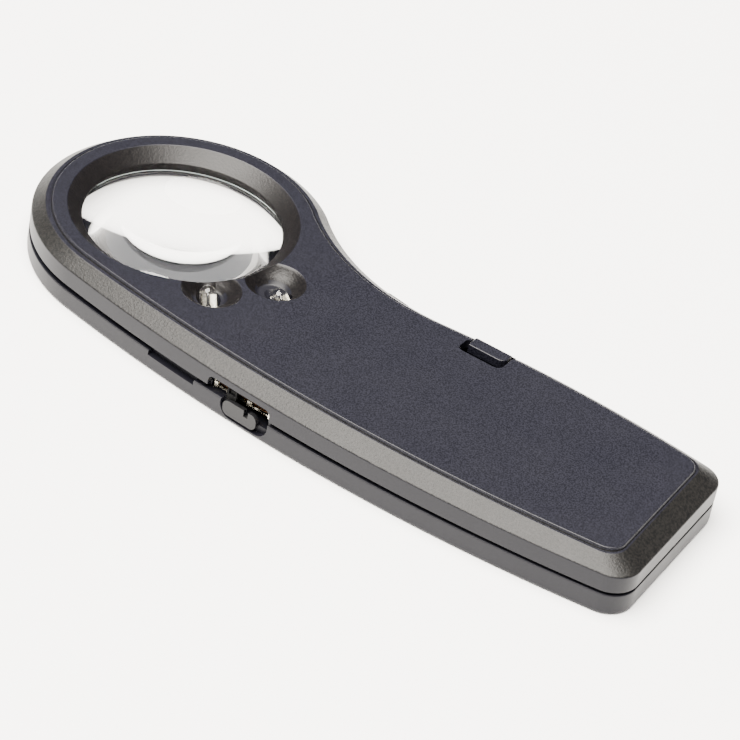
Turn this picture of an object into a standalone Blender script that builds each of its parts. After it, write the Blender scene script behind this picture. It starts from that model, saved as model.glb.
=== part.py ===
"""Illuminated hand magnifier: a lens in a ring, with a flat handle that holds the cells and the switches.

Lengths below are millimetres and angles are degrees; make() turns them into metres.
The design frame has its origin on the lens axis at the underside. +X runs along the handle, +Z up.
An empty then shifts the whole part so that the casing's outline is centred on the world origin.
"""
import math

import bmesh
import bpy
from mathutils import Matrix, Vector

MM = 0.001
GAP = 0.3                     # clearance between pieces that touch or slide

# ---- casing outline, seen from above ----
HEAD_R = 26.5                 # round head
NEAR_X, NEAR_Y = 59.6, HEAD_R + 6.2   # lowest point of the long bowed side next to the user
FAR_X, FAR_Y = 71.0, 9.3      # highest point of the opposite side of the handle
FAR_R = 243.0                 # its bow
NECK_R = 40.0                 # hollow curve from the head into the handle
END_DIST = 106.77             # lens axis to the end edge
END_TILT = 2.14               # end edge leans from square
CORNER_NEAR, CORNER_FAR = 5.0, 4.5
CORNER_SHRINK = 0.45          # how much a corner radius falls for each mm moved inwards

# ---- casing section ----
THICKNESS = 10.2
PARTING = 4.6                 # lower edge of the top shell
PARTING_GAP_HEAD, PARTING_GAP_END = 1.15, 0.56
CHAMFER_DROP = 2.3            # lower edge of the chamfer, below the top
LAND_DROP = 0.45              # flat between chamfer and raised panel, below the top
PANEL_FILLET = 0.2
CHAMFER = (2.3, 3.25, 3.7, 2.6)      # chamfer width at head, near side, end and far side
PANEL_INSET = (3.4, 3.9, 4.2, 3.3)   # panel edge, inwards from the outline, same order
TOP_WALL, FLOOR = 1.6, 1.5
WALL = 2.3                    # side wall with the lip
SKIN = 1.1                    # thin outer skin of the top shell around the lip
LIP_T, LIP_TOP = 0.9, 6.2
BASE_CHAMFER = 0.5

# ---- lens ----
LENS_R, LENS_EDGE, LENS_CENTRE = 19.0, 1.2, 8.0
LENS_LOW = 4.6                # lower side of the lens edge
RING_TOP_R = LENS_R + 1.5     # inner edge of the ring in the top face
LIP_R = LENS_R - 1.3          # narrowest bore, above the lens
BEVEL_DROP = 2.2
RING_WALL_R = LENS_R + 2.4
GASKET_T, GASKET_H = 1.1, 1.6

# ---- lamps: angle round the lens, scoop and its foot, tip place, lean ----
LED_R, LED_LEN, LED_FLANGE_R, LED_FLANGE_T = 1.5, 5.3, 1.8, 1.0
LED_HOLE_R = LED_FLANGE_R + GAP
SCOOP_DROP, SCOOP_FOOT_R = 2.8, 2.2
LAMPS = {
    "uv_led": {"angle": -42.5, "scoop": LENS_R + 3.6, "scoop_r": 5.25, "foot": LENS_R + 2.5,
               "tip": LENS_R + 0.9, "drop": 1.2, "lean": 45.0},
    "white_led": {"angle": -13.3, "scoop": LENS_R + 4.9, "scoop_r": 5.35, "foot": LENS_R + 4.6,
                  "tip": LENS_R + 5.0, "drop": 1.5, "lean": 35.0},
}

# ---- battery bay ----
BAY = (60.6, -11.5)
CELL_R, CELL_T, CELL_CAP_R, CELL_CAP_T = 10.0, 2.5, 8.7, 0.4
BAY_WALL = 1.2
COVER_W, COVER_NEAR, COVER_FAR = 26.0, -25.0, 4.6
HOOK_W, HOOK_REACH, HOOK_T = 4.0, 1.6, 1.0
LATCH_W, LATCH_T, LATCH_PROUD = 7.2, 1.2, 0.25
LATCH_OUT, LATCH_IN = 3.0, 5.6           # the head's flat top, inwards from the far wall
LATCH_CORNER = 1.3
LATCH_ROOM = 0.4              # beside the latch
POCKET_LEFT, POCKET_FRONT = 1.0, 2.0     # finger room beside and in front of the head
CONTACT_T, CONTACT_W = 0.3, 3.6

# ---- switch in the near wall, placed along it ----
SWITCH_X = 35.0
SWITCH_OPEN = (-7.2, 6.0)     # opening under the top shell's edge
SWITCH_OPEN_TOP = 6.7
SWITCH_TRAVEL = 1.8
KNOB = (-3.5, 3.6)
RECESS = (KNOB[0] - 0.5, KNOB[1] + SWITCH_TRAVEL + 0.6)   # finger recess in the bottom shell
RECESS_LOW, RECESS_HIGH, RECESS_DEPTH = 0.6, 5.5, 1.15
KNOB_LOW, KNOB_TOP, KNOB_T = 1.0, 3.95, 0.8
KNOB_NOTCH = (0.9, 1.8)
CAN = (-6.9, 5.7)
CAN_FRONT, CAN_DEPTH, CAN_LOW, CAN_H = 1.9, 4.4, 3.9, 2.5
CAN_SHEET, CAN_LUG = 0.3, 0.4
CAN_POST = 0.8                # post between the two windows
LEVER_W, LEVER_X = 1.0, -2.4

# ---- push button in the far wall ----
BUTTON_X, BUTTON_Z = 39.4, 5.4
BUTTON_W, BUTTON_H, BUTTON_PROUD, BUTTON_TRAVEL = 7.0, 3.8, 0.9, 0.6
NOSE_END = 1.9                # how far inside the wall the button's nose ends
TACT_W, TACT_D, TACT_H = 4.6, 2.4, 3.0
PLUNGER_R, PLUNGER_OUT, PLUNGER_IN = 0.9, 1.0, 0.5

# ---- circuit board ----
BOARD_X = (28.2, 44.6)
BOARD_Y = (5.7 - NEAR_Y, 2.6)   # its near edge lies under the slide switch
BOARD_Z, BOARD_T = 2.6, 1.0

# ---- screws ----
SCREW_SHANK_R, SCREW_HEAD_R, SCREW_HEAD_T, SCREW_LEN = 1.0, 2.0, 1.0, 6.2
BOSS_R = 2.7
HEAD_SCREWS = [(26.5, 7.0), (23.5, -24.6)]
END_SCREWS = (END_DIST - 7.2, END_DIST - 7.4)   # along the handle, at the near and the far side
END_SCREWS_IN = (5.9, 7.4)    # inwards from the near and the far wall


# ------------------------------------------------------------------ plan outline

def on_circle(centre, radius, degrees):
    a = math.radians(degrees)
    return Vector((centre[0] + radius * math.cos(a), centre[1] + radius * math.sin(a)))


def heading(start, end):
    """Direction from start to end, in degrees."""
    return math.degrees(math.atan2(end[1] - start[1], end[0] - start[0]))


def arc(centre, radius, start, end, steps):
    """Points of an arc without its last one."""
    return [on_circle(centre, radius, start + (end - start) * i / steps) for i in range(steps)]


def bow(apex_x, apex_y, head_r):
    """Circle that touches the head from outside and has its lowest point at (apex_x, -apex_y)."""
    radius = (apex_x ** 2 + apex_y ** 2 - head_r ** 2) / (2 * (apex_y - head_r))
    return Vector((apex_x, radius - apex_y)), radius


def meet(a, ra, b, rb):
    """The right-hand meeting point of two circles."""
    a, b = Vector(a), Vector(b)
    d = b - a
    along = (ra ** 2 - rb ** 2 + d.length_squared) / (2 * d.length)
    across = math.sqrt(ra ** 2 - along ** 2)
    u = d.normalized()
    return a + u * along + Vector((-u.y, u.x)) * across


def corner(centre, reach, end_dist, radius, side):
    """Centre of a corner fillet inside an arc of the given reach and inside the end edge."""
    n = on_circle((0, 0), 1.0, END_TILT)
    t = Vector((-n.y, n.x))
    d = end_dist - radius
    s = centre.dot(t) + side * math.sqrt((reach - radius) ** 2 - (d - centre.dot(n)) ** 2)
    return n * d + t * s


def plan(inset=0.0):
    """The circles that make the outline, moved inwards by inset: one number, or one per side."""
    head, near, end, far = inset if isinstance(inset, tuple) else (inset,) * 4
    h = HEAD_R - head
    near_c, near_r = bow(NEAR_X, NEAR_Y - near, h)
    far_r = FAR_R - far
    far_c = Vector((FAR_X, FAR_Y - FAR_R))
    neck_r = NECK_R + (head + far) / 2
    neck_c = meet((0, 0), h + neck_r, far_c, far_r + neck_r)
    if neck_c.x < 0:
        neck_c = meet(far_c, far_r + neck_r, (0, 0), h + neck_r)
    r1 = CORNER_NEAR - CORNER_SHRINK * near
    r2 = CORNER_FAR - CORNER_SHRINK * far
    c1 = corner(near_c, near_r, END_DIST - end, r1, -1)
    c2 = corner(far_c, far_r, END_DIST - end, r2, 1)
    return {"head": ((0, 0), h), "near": (near_c, near_r), "far": (far_c, far_r),
            "neck": (neck_c, neck_r), "low_corner": (c1, r1), "high_corner": (c2, r2)}


def outline(inset=0.0):
    """Closed outline, anticlockwise, always with the same number of points."""
    p = plan(inset)
    (head_c, head_r), (near_c, near_r), (far_c, far_r) = p["head"], p["near"], p["far"]
    (neck_c, neck_r), (c1, r1), (c2, r2) = p["neck"], p["low_corner"], p["high_corner"]
    start = heading(head_c, neck_c)
    near_start = heading(near_c, head_c) % 360
    near_end = heading(near_c, c1) % 360
    far_start = heading(far_c, c2)
    points = arc(head_c, head_r, start, near_start, 56)
    points += arc(near_c, near_r, near_start, near_end, 18)
    points += arc(c1, r1, near_end, 360 + END_TILT, 6)
    points += [on_circle(c1, r1, END_TILT)]
    points += arc(c2, r2, END_TILT, far_start, 6)
    points += arc(far_c, far_r, far_start, heading(far_c, neck_c), 9)
    points += arc(neck_c, neck_r, heading(neck_c, far_c), heading(neck_c, head_c), 9)
    return points


def near_frame(x):
    """Frame on the near wall: X along the wall, +Y into the casing."""
    centre, radius = plan()["near"]
    angle = math.degrees(math.asin((x - centre.x) / radius))
    point = on_circle(centre, radius, 270 + angle)
    return Matrix.Translation((point.x, point.y, 0)) @ Matrix.Rotation(math.radians(angle), 4, "Z")


def far_frame(x):
    """Frame on the far wall, in the neck or behind it: X along the wall, +Y out of the casing."""
    p = plan()
    neck_c, neck_r = p["neck"]
    far_c, far_r = p["far"]
    if x < neck_c.x + (far_c.x - neck_c.x) * neck_r / (neck_r + far_r):
        angle = math.degrees(math.asin((x - neck_c.x) / neck_r))
        point = on_circle(neck_c, neck_r, 270 + angle)
    else:
        angle = -math.degrees(math.asin((x - far_c.x) / far_r))
        point = on_circle(far_c, far_r, 90 + angle)
    return Matrix.Translation((point.x, point.y, 0)) @ Matrix.Rotation(math.radians(angle), 4, "Z")


def end_screws():
    near, far = near_frame(END_SCREWS[0]).translation, far_frame(END_SCREWS[1]).translation
    return [(near.x, near.y + END_SCREWS_IN[0]), (far.x, far.y - END_SCREWS_IN[1])]


SCREWS = HEAD_SCREWS + end_screws()


# ------------------------------------------------------------------ mesh tools

def finish(bm, matrix=None):
    """Closes a mesh with outward faces and returns it as a new, still nameless object."""
    bmesh.ops.recalc_face_normals(bm, faces=bm.faces)
    if matrix is not None:
        bmesh.ops.transform(bm, matrix=matrix, verts=bm.verts)
    mesh = bpy.data.meshes.new("solid")
    bm.to_mesh(mesh)
    bm.free()
    obj = bpy.data.objects.new("solid", mesh)
    bpy.context.scene.collection.objects.link(obj)
    return obj


def loft(loops, matrix=None):
    """Solid through closed loops of equal length. A loop is (points, z), and z may be a function."""
    bm = bmesh.new()
    rings = []
    for points, z in loops:
        rings.append([bm.verts.new((p[0], p[1], z(p) if callable(z) else z)) for p in points])
    count = len(rings[0])
    for low, high in zip(rings, rings[1:]):
        for i in range(count):
            j = (i + 1) % count
            bm.faces.new((low[i], low[j], high[j], high[i]))
    bm.faces.new(rings[0])
    bm.faces.new(rings[-1])
    return finish(bm, matrix)


def box(x, y, z, matrix=None):
    (x0, x1), (y0, y1), (z0, z1) = x, y, z
    rectangle = [(x0, y0), (x1, y0), (x1, y1), (x0, y1)]
    return loft([(rectangle, z0), (rectangle, z1)], matrix)


def cylinder(radius, z, centre=(0, 0), sides=24, matrix=None):
    circle = arc(centre, radius, 0, 360, sides)
    return loft([(circle, z[0]), (circle, z[1])], matrix)


def turned(profile, sides=24, matrix=None):
    """Solid of revolution about Z. The profile is (radius, z) and starts and ends on the axis."""
    bm = bmesh.new()
    verts = [bm.verts.new((r, 0, z)) for r, z in profile]
    edges = [bm.edges.new(pair) for pair in zip(verts, verts[1:])]
    bmesh.ops.spin(bm, geom=verts + edges, cent=(0, 0, 0), axis=(0, 0, 1),
                   angle=math.tau, steps=sides, use_merge=True)
    bmesh.ops.remove_doubles(bm, verts=bm.verts, dist=1e-5)
    return finish(bm, matrix)


def plate(points, y, matrix=None):
    """Solid with the given (x, z) outline, from y[0] to y[1]."""
    bm = bmesh.new()
    rings = [[bm.verts.new((px, depth, pz)) for px, pz in points] for depth in y]
    for i in range(len(points)):
        j = (i + 1) % len(points)
        bm.faces.new((rings[0][i], rings[0][j], rings[1][j], rings[1][i]))
    bm.faces.new(rings[0])
    bm.faces.new(rings[1])
    return finish(bm, matrix)


def rounded(x, z, radius, y, matrix=None, steps=5):
    """Plate with rounded corners in X and Z, from y[0] to y[1]."""
    (x0, x1), (z0, z1) = x, z
    points = arc((x1 - radius, z1 - radius), radius, 0, 90, steps) + [(x1 - radius, z1)]
    points += arc((x0 + radius, z1 - radius), radius, 90, 180, steps) + [(x0, z1 - radius)]
    points += arc((x0 + radius, z0 + radius), radius, 180, 270, steps) + [(x0 + radius, z0)]
    points += arc((x1 - radius, z0 + radius), radius, 270, 360, steps) + [(x1, z0 + radius)]
    return plate(points, y, matrix)


def side_profile(points, x, matrix=None):
    """Solid with the given (y, z) profile, from x[0] to x[1]."""
    bm = bmesh.new()
    rings = [[bm.verts.new((px, y, z)) for y, z in points] for px in x]
    for i in range(len(points)):
        j = (i + 1) % len(points)
        bm.faces.new((rings[0][i], rings[0][j], rings[1][j], rings[1][i]))
    bm.faces.new(rings[0])
    bm.faces.new(rings[1])
    return finish(bm, matrix)


def tube(points, radius, sides=6):
    """Round wire along a smooth run of points, with closed ends."""
    route = [Vector(p) for p in points]
    bm = bmesh.new()
    rings = []
    side = None
    for i, p in enumerate(route):
        ahead = route[min(i + 1, len(route) - 1)] - route[max(i - 1, 0)]
        ahead.normalize()
        if side is None:
            side = ahead.orthogonal().normalized()
        side = (side - ahead * side.dot(ahead)).normalized()
        up = ahead.cross(side)
        turns = [math.tau * k / sides for k in range(sides)]
        rings.append([bm.verts.new(p + (side * math.cos(a) + up * math.sin(a)) * radius)
                      for a in turns])
    for low, high in zip(rings, rings[1:]):
        for k in range(sides):
            bm.faces.new((low[k], low[(k + 1) % sides], high[(k + 1) % sides], high[k]))
    bm.faces.new(rings[0])
    bm.faces.new(rings[-1])
    return finish(bm)


def smooth_route(points, steps=6):
    """Points on a smooth curve through the given ones."""
    pts = [Vector(p) for p in points]
    ends = [pts[0] * 2 - pts[1]] + pts + [pts[-1] * 2 - pts[-2]]
    route = []
    for a, b, c, d in zip(ends, ends[1:], ends[2:], ends[3:]):
        for i in range(steps):
            t = i / steps
            route.append(0.5 * (2 * b + (c - a) * t + (2 * a - 5 * b + 4 * c - d) * t ** 2
                                + (3 * b - a - 3 * c + d) * t ** 3))
    return route + [pts[-1]]


def combine(target, tools, operation):
    """Cuts or joins the tools with the target, keeps the result and removes the tools."""
    for piece in tools:
        modifier = target.modifiers.new("combine", "BOOLEAN")
        modifier.operation = operation
        modifier.solver = "EXACT"
        modifier.object = piece
    bpy.context.view_layer.update()
    graph = bpy.context.evaluated_depsgraph_get()
    mesh = bpy.data.meshes.new_from_object(target.evaluated_get(graph))
    target.modifiers.clear()
    target.data = mesh
    for piece in tools:
        bpy.data.objects.remove(piece)
    return target


def cut(target, *tools):
    return combine(target, tools, "DIFFERENCE")


def join(target, *tools):
    return combine(target, tools, "UNION")


def material(name, colour, roughness, metallic=0.0, alpha=1.0, transmission=0.0):
    mat = bpy.data.materials.new(name)
    mat.use_nodes = True
    shader = mat.node_tree.nodes["Principled BSDF"]
    shader.inputs["Base Color"].default_value = (*colour, 1.0)
    shader.inputs["Roughness"].default_value = roughness
    shader.inputs["Metallic"].default_value = metallic
    shader.inputs["Alpha"].default_value = alpha
    shader.inputs["Transmission Weight"].default_value = transmission
    mat.diffuse_color = (*colour, alpha)
    return mat


def make(obj, name, mat, pivot=(0, 0, 0), smooth=30.0):
    """Names a solid, gives it its own material, its origin at pivot, and its place in the part."""
    obj.name = name
    obj.data.name = name
    obj.data.materials.clear()
    obj.data.materials.append(mat)
    obj.data.transform(Matrix.Scale(MM, 4) @ Matrix.Translation(-Vector(pivot)))
    obj.data.shade_smooth()
    obj.data.set_sharp_from_angle(angle=math.radians(smooth))
    obj.location = Vector(pivot) * MM
    obj.parent = origin
    return obj


# ------------------------------------------------------------------ start

for old in list(bpy.data.objects):
    bpy.data.objects.remove(old)

edge = outline()
left, right = min(p.x for p in edge), max(p.x for p in edge)
low, high = min(p.y for p in edge), max(p.y for p in edge)

origin = bpy.data.objects.new("casing_centre", None)
origin.location = (-(left + right) / 2 * MM, -(low + high) / 2 * MM, 0)
bpy.context.scene.collection.objects.link(origin)

near_wall = near_frame(SWITCH_X)
far_wall = far_frame(BUTTON_X)
latch_x = (BAY[0] - LATCH_W / 2, BAY[0] + LATCH_W / 2)
latch_wall = far_frame(BAY[0]).translation.y
cover_x = (BAY[0] - COVER_W / 2, BAY[0] + COVER_W / 2)
ceiling = THICKNESS - TOP_WALL
board_top = BOARD_Z + BOARD_T


def rim(point):
    """Top edge of the bottom shell's wall: the parting gap narrows towards the end."""
    share = (point[0] - left) / (right - left)
    return PARTING - (PARTING_GAP_HEAD + (PARTING_GAP_END - PARTING_GAP_HEAD) * share)


# ------------------------------------------------------------------ lamp places

def lamp_frame(lamp):
    """Frame at a lamp's tip, with +Z out of the tip."""
    a = math.radians(lamp["angle"])
    lean = math.radians(lamp["lean"])
    tip = Vector((lamp["tip"] * math.cos(a), lamp["tip"] * math.sin(a), THICKNESS - lamp["drop"]))
    aim = Vector((-math.cos(a) * math.cos(lean), -math.sin(a) * math.cos(lean), math.sin(lean)))
    return Matrix.Translation(tip) @ aim.to_track_quat("Z", "Y").to_matrix().to_4x4()


def scoop(lamp):
    """Funnel in the top face round a lamp, which carries on a little above the face."""
    top = on_circle((0, 0), lamp["scoop"], lamp["angle"])
    foot = on_circle((0, 0), lamp["foot"], lamp["angle"])
    above = 0.5
    over = top + (top - foot) * above / SCOOP_DROP
    over_r = lamp["scoop_r"] + (lamp["scoop_r"] - SCOOP_FOOT_R) * above / SCOOP_DROP
    return loft([(arc(foot, SCOOP_FOOT_R, 0, 360, 28), THICKNESS - SCOOP_DROP),
                 (arc(top, lamp["scoop_r"], 0, 360, 28), THICKNESS),
                 (arc(over, over_r, 0, 360, 28), THICKNESS + above)])


def lamp_pod(lamp):
    centre = on_circle((0, 0), lamp["scoop"] + 0.4, lamp["angle"])
    return cylinder(lamp["scoop_r"] + 1.0, (5.2, ceiling + 0.5), centre, 28)


def lamp_hole(lamp):
    return cylinder(LED_HOLE_R, (-LED_LEN - 4.0, 1.0), sides=20, matrix=lamp_frame(lamp))


# ------------------------------------------------------------------ casing

def boss(centre, radius, z):
    return cylinder(radius, z, centre, 20)


def button_hole():
    return rounded((-BUTTON_W / 2 - GAP, BUTTON_W / 2 + GAP),
                   (BUTTON_Z - BUTTON_H / 2 - GAP, BUTTON_Z + BUTTON_H / 2 + GAP),
                   BUTTON_H / 2 - 0.3, (-WALL - 1.5, 3.0), far_wall)


def latch_slot(z):
    """Room for the latch, from the battery opening out through the far wall."""
    x = (latch_x[0] - LATCH_ROOM, latch_x[1] + LATCH_ROOM)
    return box(x, (COVER_FAR - 0.5, latch_wall + 2.0), z)


def latch_pocket():
    """Pocket in the top face: a slot for the latch, wider in front of its head."""
    x0, x1 = latch_x[0] - LATCH_ROOM, latch_x[1] + LATCH_ROOM
    y0, y1 = latch_wall - LATCH_IN - POCKET_FRONT, latch_wall + 2.0
    step = latch_wall - LATCH_OUT - 1.0
    left_x, r = latch_x[0] - POCKET_LEFT, 1.0
    points = [(x1, y1), (x0, y1), (x0, step)]
    points += arc((left_x + r, step - r), r, 90, 180, 3)
    points += arc((left_x + r, y0 + r), r, 180, 270, 5) + [(left_x + r, y0)]
    points += arc((x1 - LATCH_CORNER, y0 + LATCH_CORNER), LATCH_CORNER, 270, 360, 5)
    points += [(x1, y0 + LATCH_CORNER)]
    return loft([(points, ceiling - 0.6), (points, THICKNESS + 0.6)])


def top_shell():
    skin_top = LIP_TOP + GAP
    fillet = tuple(i + PANEL_FILLET for i in PANEL_INSET)
    foot = tuple(i - 0.3 for i in PANEL_INSET)
    land = THICKNESS - LAND_DROP
    shell = loft([
        (outline(WALL - 0.1), ceiling), (outline(WALL - 0.1), skin_top), (outline(SKIN), skin_top),
        (outline(SKIN), PARTING), (outline(), PARTING), (outline(), THICKNESS - CHAMFER_DROP),
        (outline(CHAMFER), land), (outline(foot), land),
        (outline(PANEL_INSET), THICKNESS - PANEL_FILLET), (outline(fillet), THICKNESS)])
    lens_seat = LENS_LOW + LENS_EDGE + GAP
    join(shell,
         cylinder(RING_WALL_R, (PARTING, ceiling + 0.5), sides=64),
         *[lamp_pod(lamp) for lamp in LAMPS.values()],
         cut(cylinder(CELL_R + 0.4 + BAY_WALL, (FLOOR + GAP, ceiling + 0.5), BAY, 36),
             cylinder(CELL_R + 0.4, (0, ceiling + 1.0), BAY, 36)),
         *[boss(place, BOSS_R, (PARTING, ceiling + 0.5)) for place in SCREWS])
    bore = turned([(0, THICKNESS + 1), (RING_TOP_R + 1, THICKNESS + 1), (RING_TOP_R + 0.2, THICKNESS),
                   (RING_TOP_R, THICKNESS - 0.1),
                   (LIP_R + 0.1, THICKNESS - BEVEL_DROP), (LIP_R, THICKNESS - BEVEL_DROP - 0.2),
                   (LIP_R, THICKNESS - BEVEL_DROP - 0.6), (LENS_R - 0.3, THICKNESS - BEVEL_DROP - 0.6),
                   (LENS_R - 0.3, lens_seat), (LENS_R + GAP, lens_seat), (LENS_R + GAP, 2.0),
                   (0, 2.0)], 64)
    slot = (BAY[0] - CELL_R - BAY_WALL - 1.0, BAY[0] - CELL_R + 1.5)
    return cut(shell, bore,
               *[scoop(lamp) for lamp in LAMPS.values()],
               *[lamp_hole(lamp) for lamp in LAMPS.values()],
               *[boss(place, SCREW_SHANK_R + GAP, (2.0, SCREW_LEN + 2.0)) for place in SCREWS],
               box(slot, (BAY[1] - CONTACT_W / 2 - 0.5, BAY[1] + CONTACT_W / 2 + 0.5), (0, ceiling)),
               rounded(SWITCH_OPEN, (2.0, SWITCH_OPEN_TOP), 1.1, (-1.0, WALL + 0.8), near_wall),
               button_hole(), latch_pocket(), latch_slot((2.0, ceiling)))


def bottom_shell():
    shell = loft([
        (outline(BASE_CHAMFER), 0), (outline(), BASE_CHAMFER), (outline(), rim),
        (outline(WALL - LIP_T), rim), (outline(WALL - LIP_T), LIP_TOP), (outline(WALL), LIP_TOP),
        (outline(WALL), FLOOR)])
    gasket_low = LENS_LOW - GAP - GASKET_H - GAP
    gasket_room = LENS_R + 0.5 + GAP
    join(shell,
         cylinder(RING_WALL_R, (FLOOR - 0.5, PARTING - GAP), sides=64),
         *[boss(place, BOSS_R + 0.3, (FLOOR - 0.5, PARTING - GAP)) for place in SCREWS],
         *[boss((x, y), 1.2, (FLOOR - 0.5, BOARD_Z - GAP))
           for x in (BOARD_X[0] + 2.0, BOARD_X[1] - 2.0) for y in (BOARD_Y[0] + 8.0, BOARD_Y[1] - 5.0)])
    bore = turned([(0, 7.0), (gasket_room, 7.0), (gasket_room, gasket_low),
                   (LENS_R - 1.0, gasket_low), (LENS_R - 1.0, 1.2), (LENS_R + 0.2, 0),
                   (LENS_R + 1.2, -1.0), (0, -1.0)], 64)
    hook_room = [box((x - HOOK_W / 2 - GAP, x + HOOK_W / 2 + GAP), (COVER_NEAR - 0.4, COVER_NEAR + 1.0),
                     (FLOOR - 0.3, FLOOR + 0.5)) for x in hook_places()]
    return cut(shell, bore,
               *[boss(place, SCREW_SHANK_R + GAP, (-1.0, 5.0)) for place in SCREWS],
               *[boss(place, SCREW_HEAD_R + GAP, (-1.0, 0.2 + SCREW_HEAD_T + GAP)) for place in SCREWS],
               box(cover_x, (COVER_NEAR, COVER_FAR), (-1, FLOOR + 0.5)), *hook_room,
               latch_slot((-1.0, LIP_TOP + 1.0)),
               rounded(RECESS, (RECESS_LOW, RECESS_HIGH), (RECESS_HIGH - RECESS_LOW) / 2 - 0.05,
                       (-1.0, RECESS_DEPTH), near_wall),
               box(SWITCH_OPEN, (RECESS_DEPTH + 0.1, WALL + 0.8), (PARTING - 1.0, SWITCH_OPEN_TOP),
                   near_wall),
               box((RECESS[0] + 0.6, RECESS[1] - 0.6), (0.5, WALL + 0.8), (2.0, SWITCH_OPEN_TOP),
                   near_wall),
               box((-5.2, 5.2), (-1.0, WALL - LIP_T - 0.1), (2.75, PARTING + 1.0), near_frame(19.8)),
               button_hole())


def hook_places():
    return (cover_x[0] + 4.6, cover_x[1] - 4.6)


def battery_cover():
    lid = box((cover_x[0] + GAP, cover_x[1] - GAP), (COVER_NEAR + GAP, COVER_FAR - GAP), (0, FLOOR))
    hooks = []
    for x in hook_places():
        riser = FLOOR + GAP + HOOK_T
        hooks.append(side_profile(
            [(COVER_NEAR - HOOK_REACH, FLOOR + GAP), (COVER_NEAR + 0.6, FLOOR + GAP),
             (COVER_NEAR + 0.6, FLOOR - 0.5), (COVER_NEAR + 2.0, FLOOR - 0.5),
             (COVER_NEAR + 2.0, riser - 0.4), (COVER_NEAR + 1.6, riser),
             (COVER_NEAR - HOOK_REACH, riser)],
            (x - HOOK_W / 2, x + HOOK_W / 2)))
    # three shallow grooves in the outer face, for the thumb
    grip = [box((BAY[0] - 5.0, BAY[0] + 5.0), (y, y + 0.7), (-1.0, 0.35))
            for y in (COVER_FAR - 4.0, COVER_FAR - 5.6, COVER_FAR - 7.2)]
    return cut(join(lid, *hooks), *grip)


def cover_latch():
    """Springy tongue up the far wall, ending in the tab that shows in the top face."""
    wall = latch_wall - 0.1
    top = THICKNESS + LATCH_PROUD
    tongue = wall - LATCH_T
    head = latch_wall - LATCH_IN
    points = [(COVER_FAR, 0), (wall, 0), (wall, THICKNESS - CHAMFER_DROP), (latch_wall - LATCH_OUT, top),
              (head + 0.2, top), (head, top - 0.2), (head, ceiling + 0.1), (tongue, ceiling + 0.1),
              (tongue, FLOOR), (COVER_FAR, FLOOR)]
    corner_x, corner_y = latch_x[1] - LATCH_CORNER, head + LATCH_CORNER
    trim = [(latch_x[1] + 1.0, head - 1.0), (latch_x[1] + 1.0, corner_y)]
    trim += [on_circle((corner_x, corner_y), LATCH_CORNER, -15 * i) for i in range(7)]
    trim += [(corner_x, head - 1.0)]
    return cut(side_profile(points, latch_x), loft([(trim, ceiling), (trim, top + 1.0)]))


# ------------------------------------------------------------------ optics

def lens():
    """Two equal domes on a cylindrical edge."""
    sag = (LENS_CENTRE - LENS_EDGE) / 2
    face_r = (LENS_R ** 2 + sag ** 2) / (2 * sag)
    radii = [LENS_R * i / 6 for i in range(7)]
    dome = [(r, math.sqrt(face_r ** 2 - r ** 2) - (face_r - sag)) for r in radii]
    high = [(r, LENS_LOW + LENS_EDGE + z) for r, z in dome]
    return turned(high + [(r, LENS_LOW - z) for r, z in reversed(dome)], 44)


def gasket():
    low_z = LENS_LOW - GAP - GASKET_H
    outer = LENS_R + 0.5
    ring = cylinder(outer, (low_z, low_z + GASKET_H), sides=36)
    return cut(ring, cylinder(outer - GASKET_T, (0, THICKNESS), sides=36))


def led(lamp):
    """Moulded lamp with its flange and two legs, pointing up its own Z with the tip at 0."""
    dome = [(LED_R * math.sin(math.radians(a)), LED_R * (math.cos(math.radians(a)) - 1))
            for a in range(0, 91, 18)]
    foot = -LED_LEN
    body = turned(dome + [(LED_R, foot + LED_FLANGE_T), (LED_FLANGE_R, foot + LED_FLANGE_T),
                          (LED_FLANGE_R, foot), (0, foot)], 20)
    legs = [box((x - 0.2, x + 0.2), (-0.2, 0.2), (foot - 1.6, foot + 0.5)) for x in (-0.9, 0.9)]
    join(body, *legs)
    body.data.transform(lamp_frame(lamp))
    return body


# ------------------------------------------------------------------ power

def cell(z):
    return turned([(0, z), (CELL_R - 0.3, z), (CELL_R, z + 0.3), (CELL_R, z + CELL_T - CELL_CAP_T),
                   (CELL_CAP_R, z + CELL_T - CELL_CAP_T), (CELL_CAP_R - 0.2, z + CELL_T),
                   (0, z + CELL_T)], 36, Matrix.Translation((BAY[0], BAY[1], 0)))


def strip(points, width, y):
    """Bent metal strip: (x, z) centre line, CONTACT_T thick, spread along Y."""
    line = [Vector(p) for p in points]
    upper, lower = [], []
    for i, p in enumerate(line):
        before = (p - line[i - 1]).normalized() if i else (line[1] - p).normalized()
        after = (line[i + 1] - p).normalized() if i < len(line) - 1 else before
        mean = (before + after).normalized()
        normal = Vector((-mean.y, mean.x)) * (CONTACT_T / 2 / mean.dot(before))
        upper.append(p + normal)
        lower.append(p - normal)
    points = [(p.x, p.y) for p in upper + lower[::-1]]
    bm = bmesh.new()
    rings = [[bm.verts.new((x, side, z)) for x, z in points] for side in (y - width / 2, y + width / 2)]
    for i in range(len(points)):
        j = (i + 1) % len(points)
        bm.faces.new((rings[0][i], rings[0][j], rings[1][j], rings[1][i]))
    bm.faces.new(rings[0])
    bm.faces.new(rings[1])
    return finish(bm)


cell_low = FLOOR + GAP
stack_top = cell_low + 2 * CELL_T + GAP
contact_foot = BAY[0] - CELL_R - 5.0


def negative_contact():
    """Leaf under the ceiling whose tongue presses on the upper cell."""
    leaf = ceiling - GAP - CONTACT_T / 2
    return strip([(contact_foot, board_top + 1.2), (contact_foot, leaf), (BAY[0] - 4.0, leaf),
                  (BAY[0] - 1.0, stack_top + GAP + CONTACT_T / 2),
                  (BAY[0] + 1.5, stack_top + GAP + CONTACT_T / 2)],
                 CONTACT_W, BAY[1])


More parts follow.
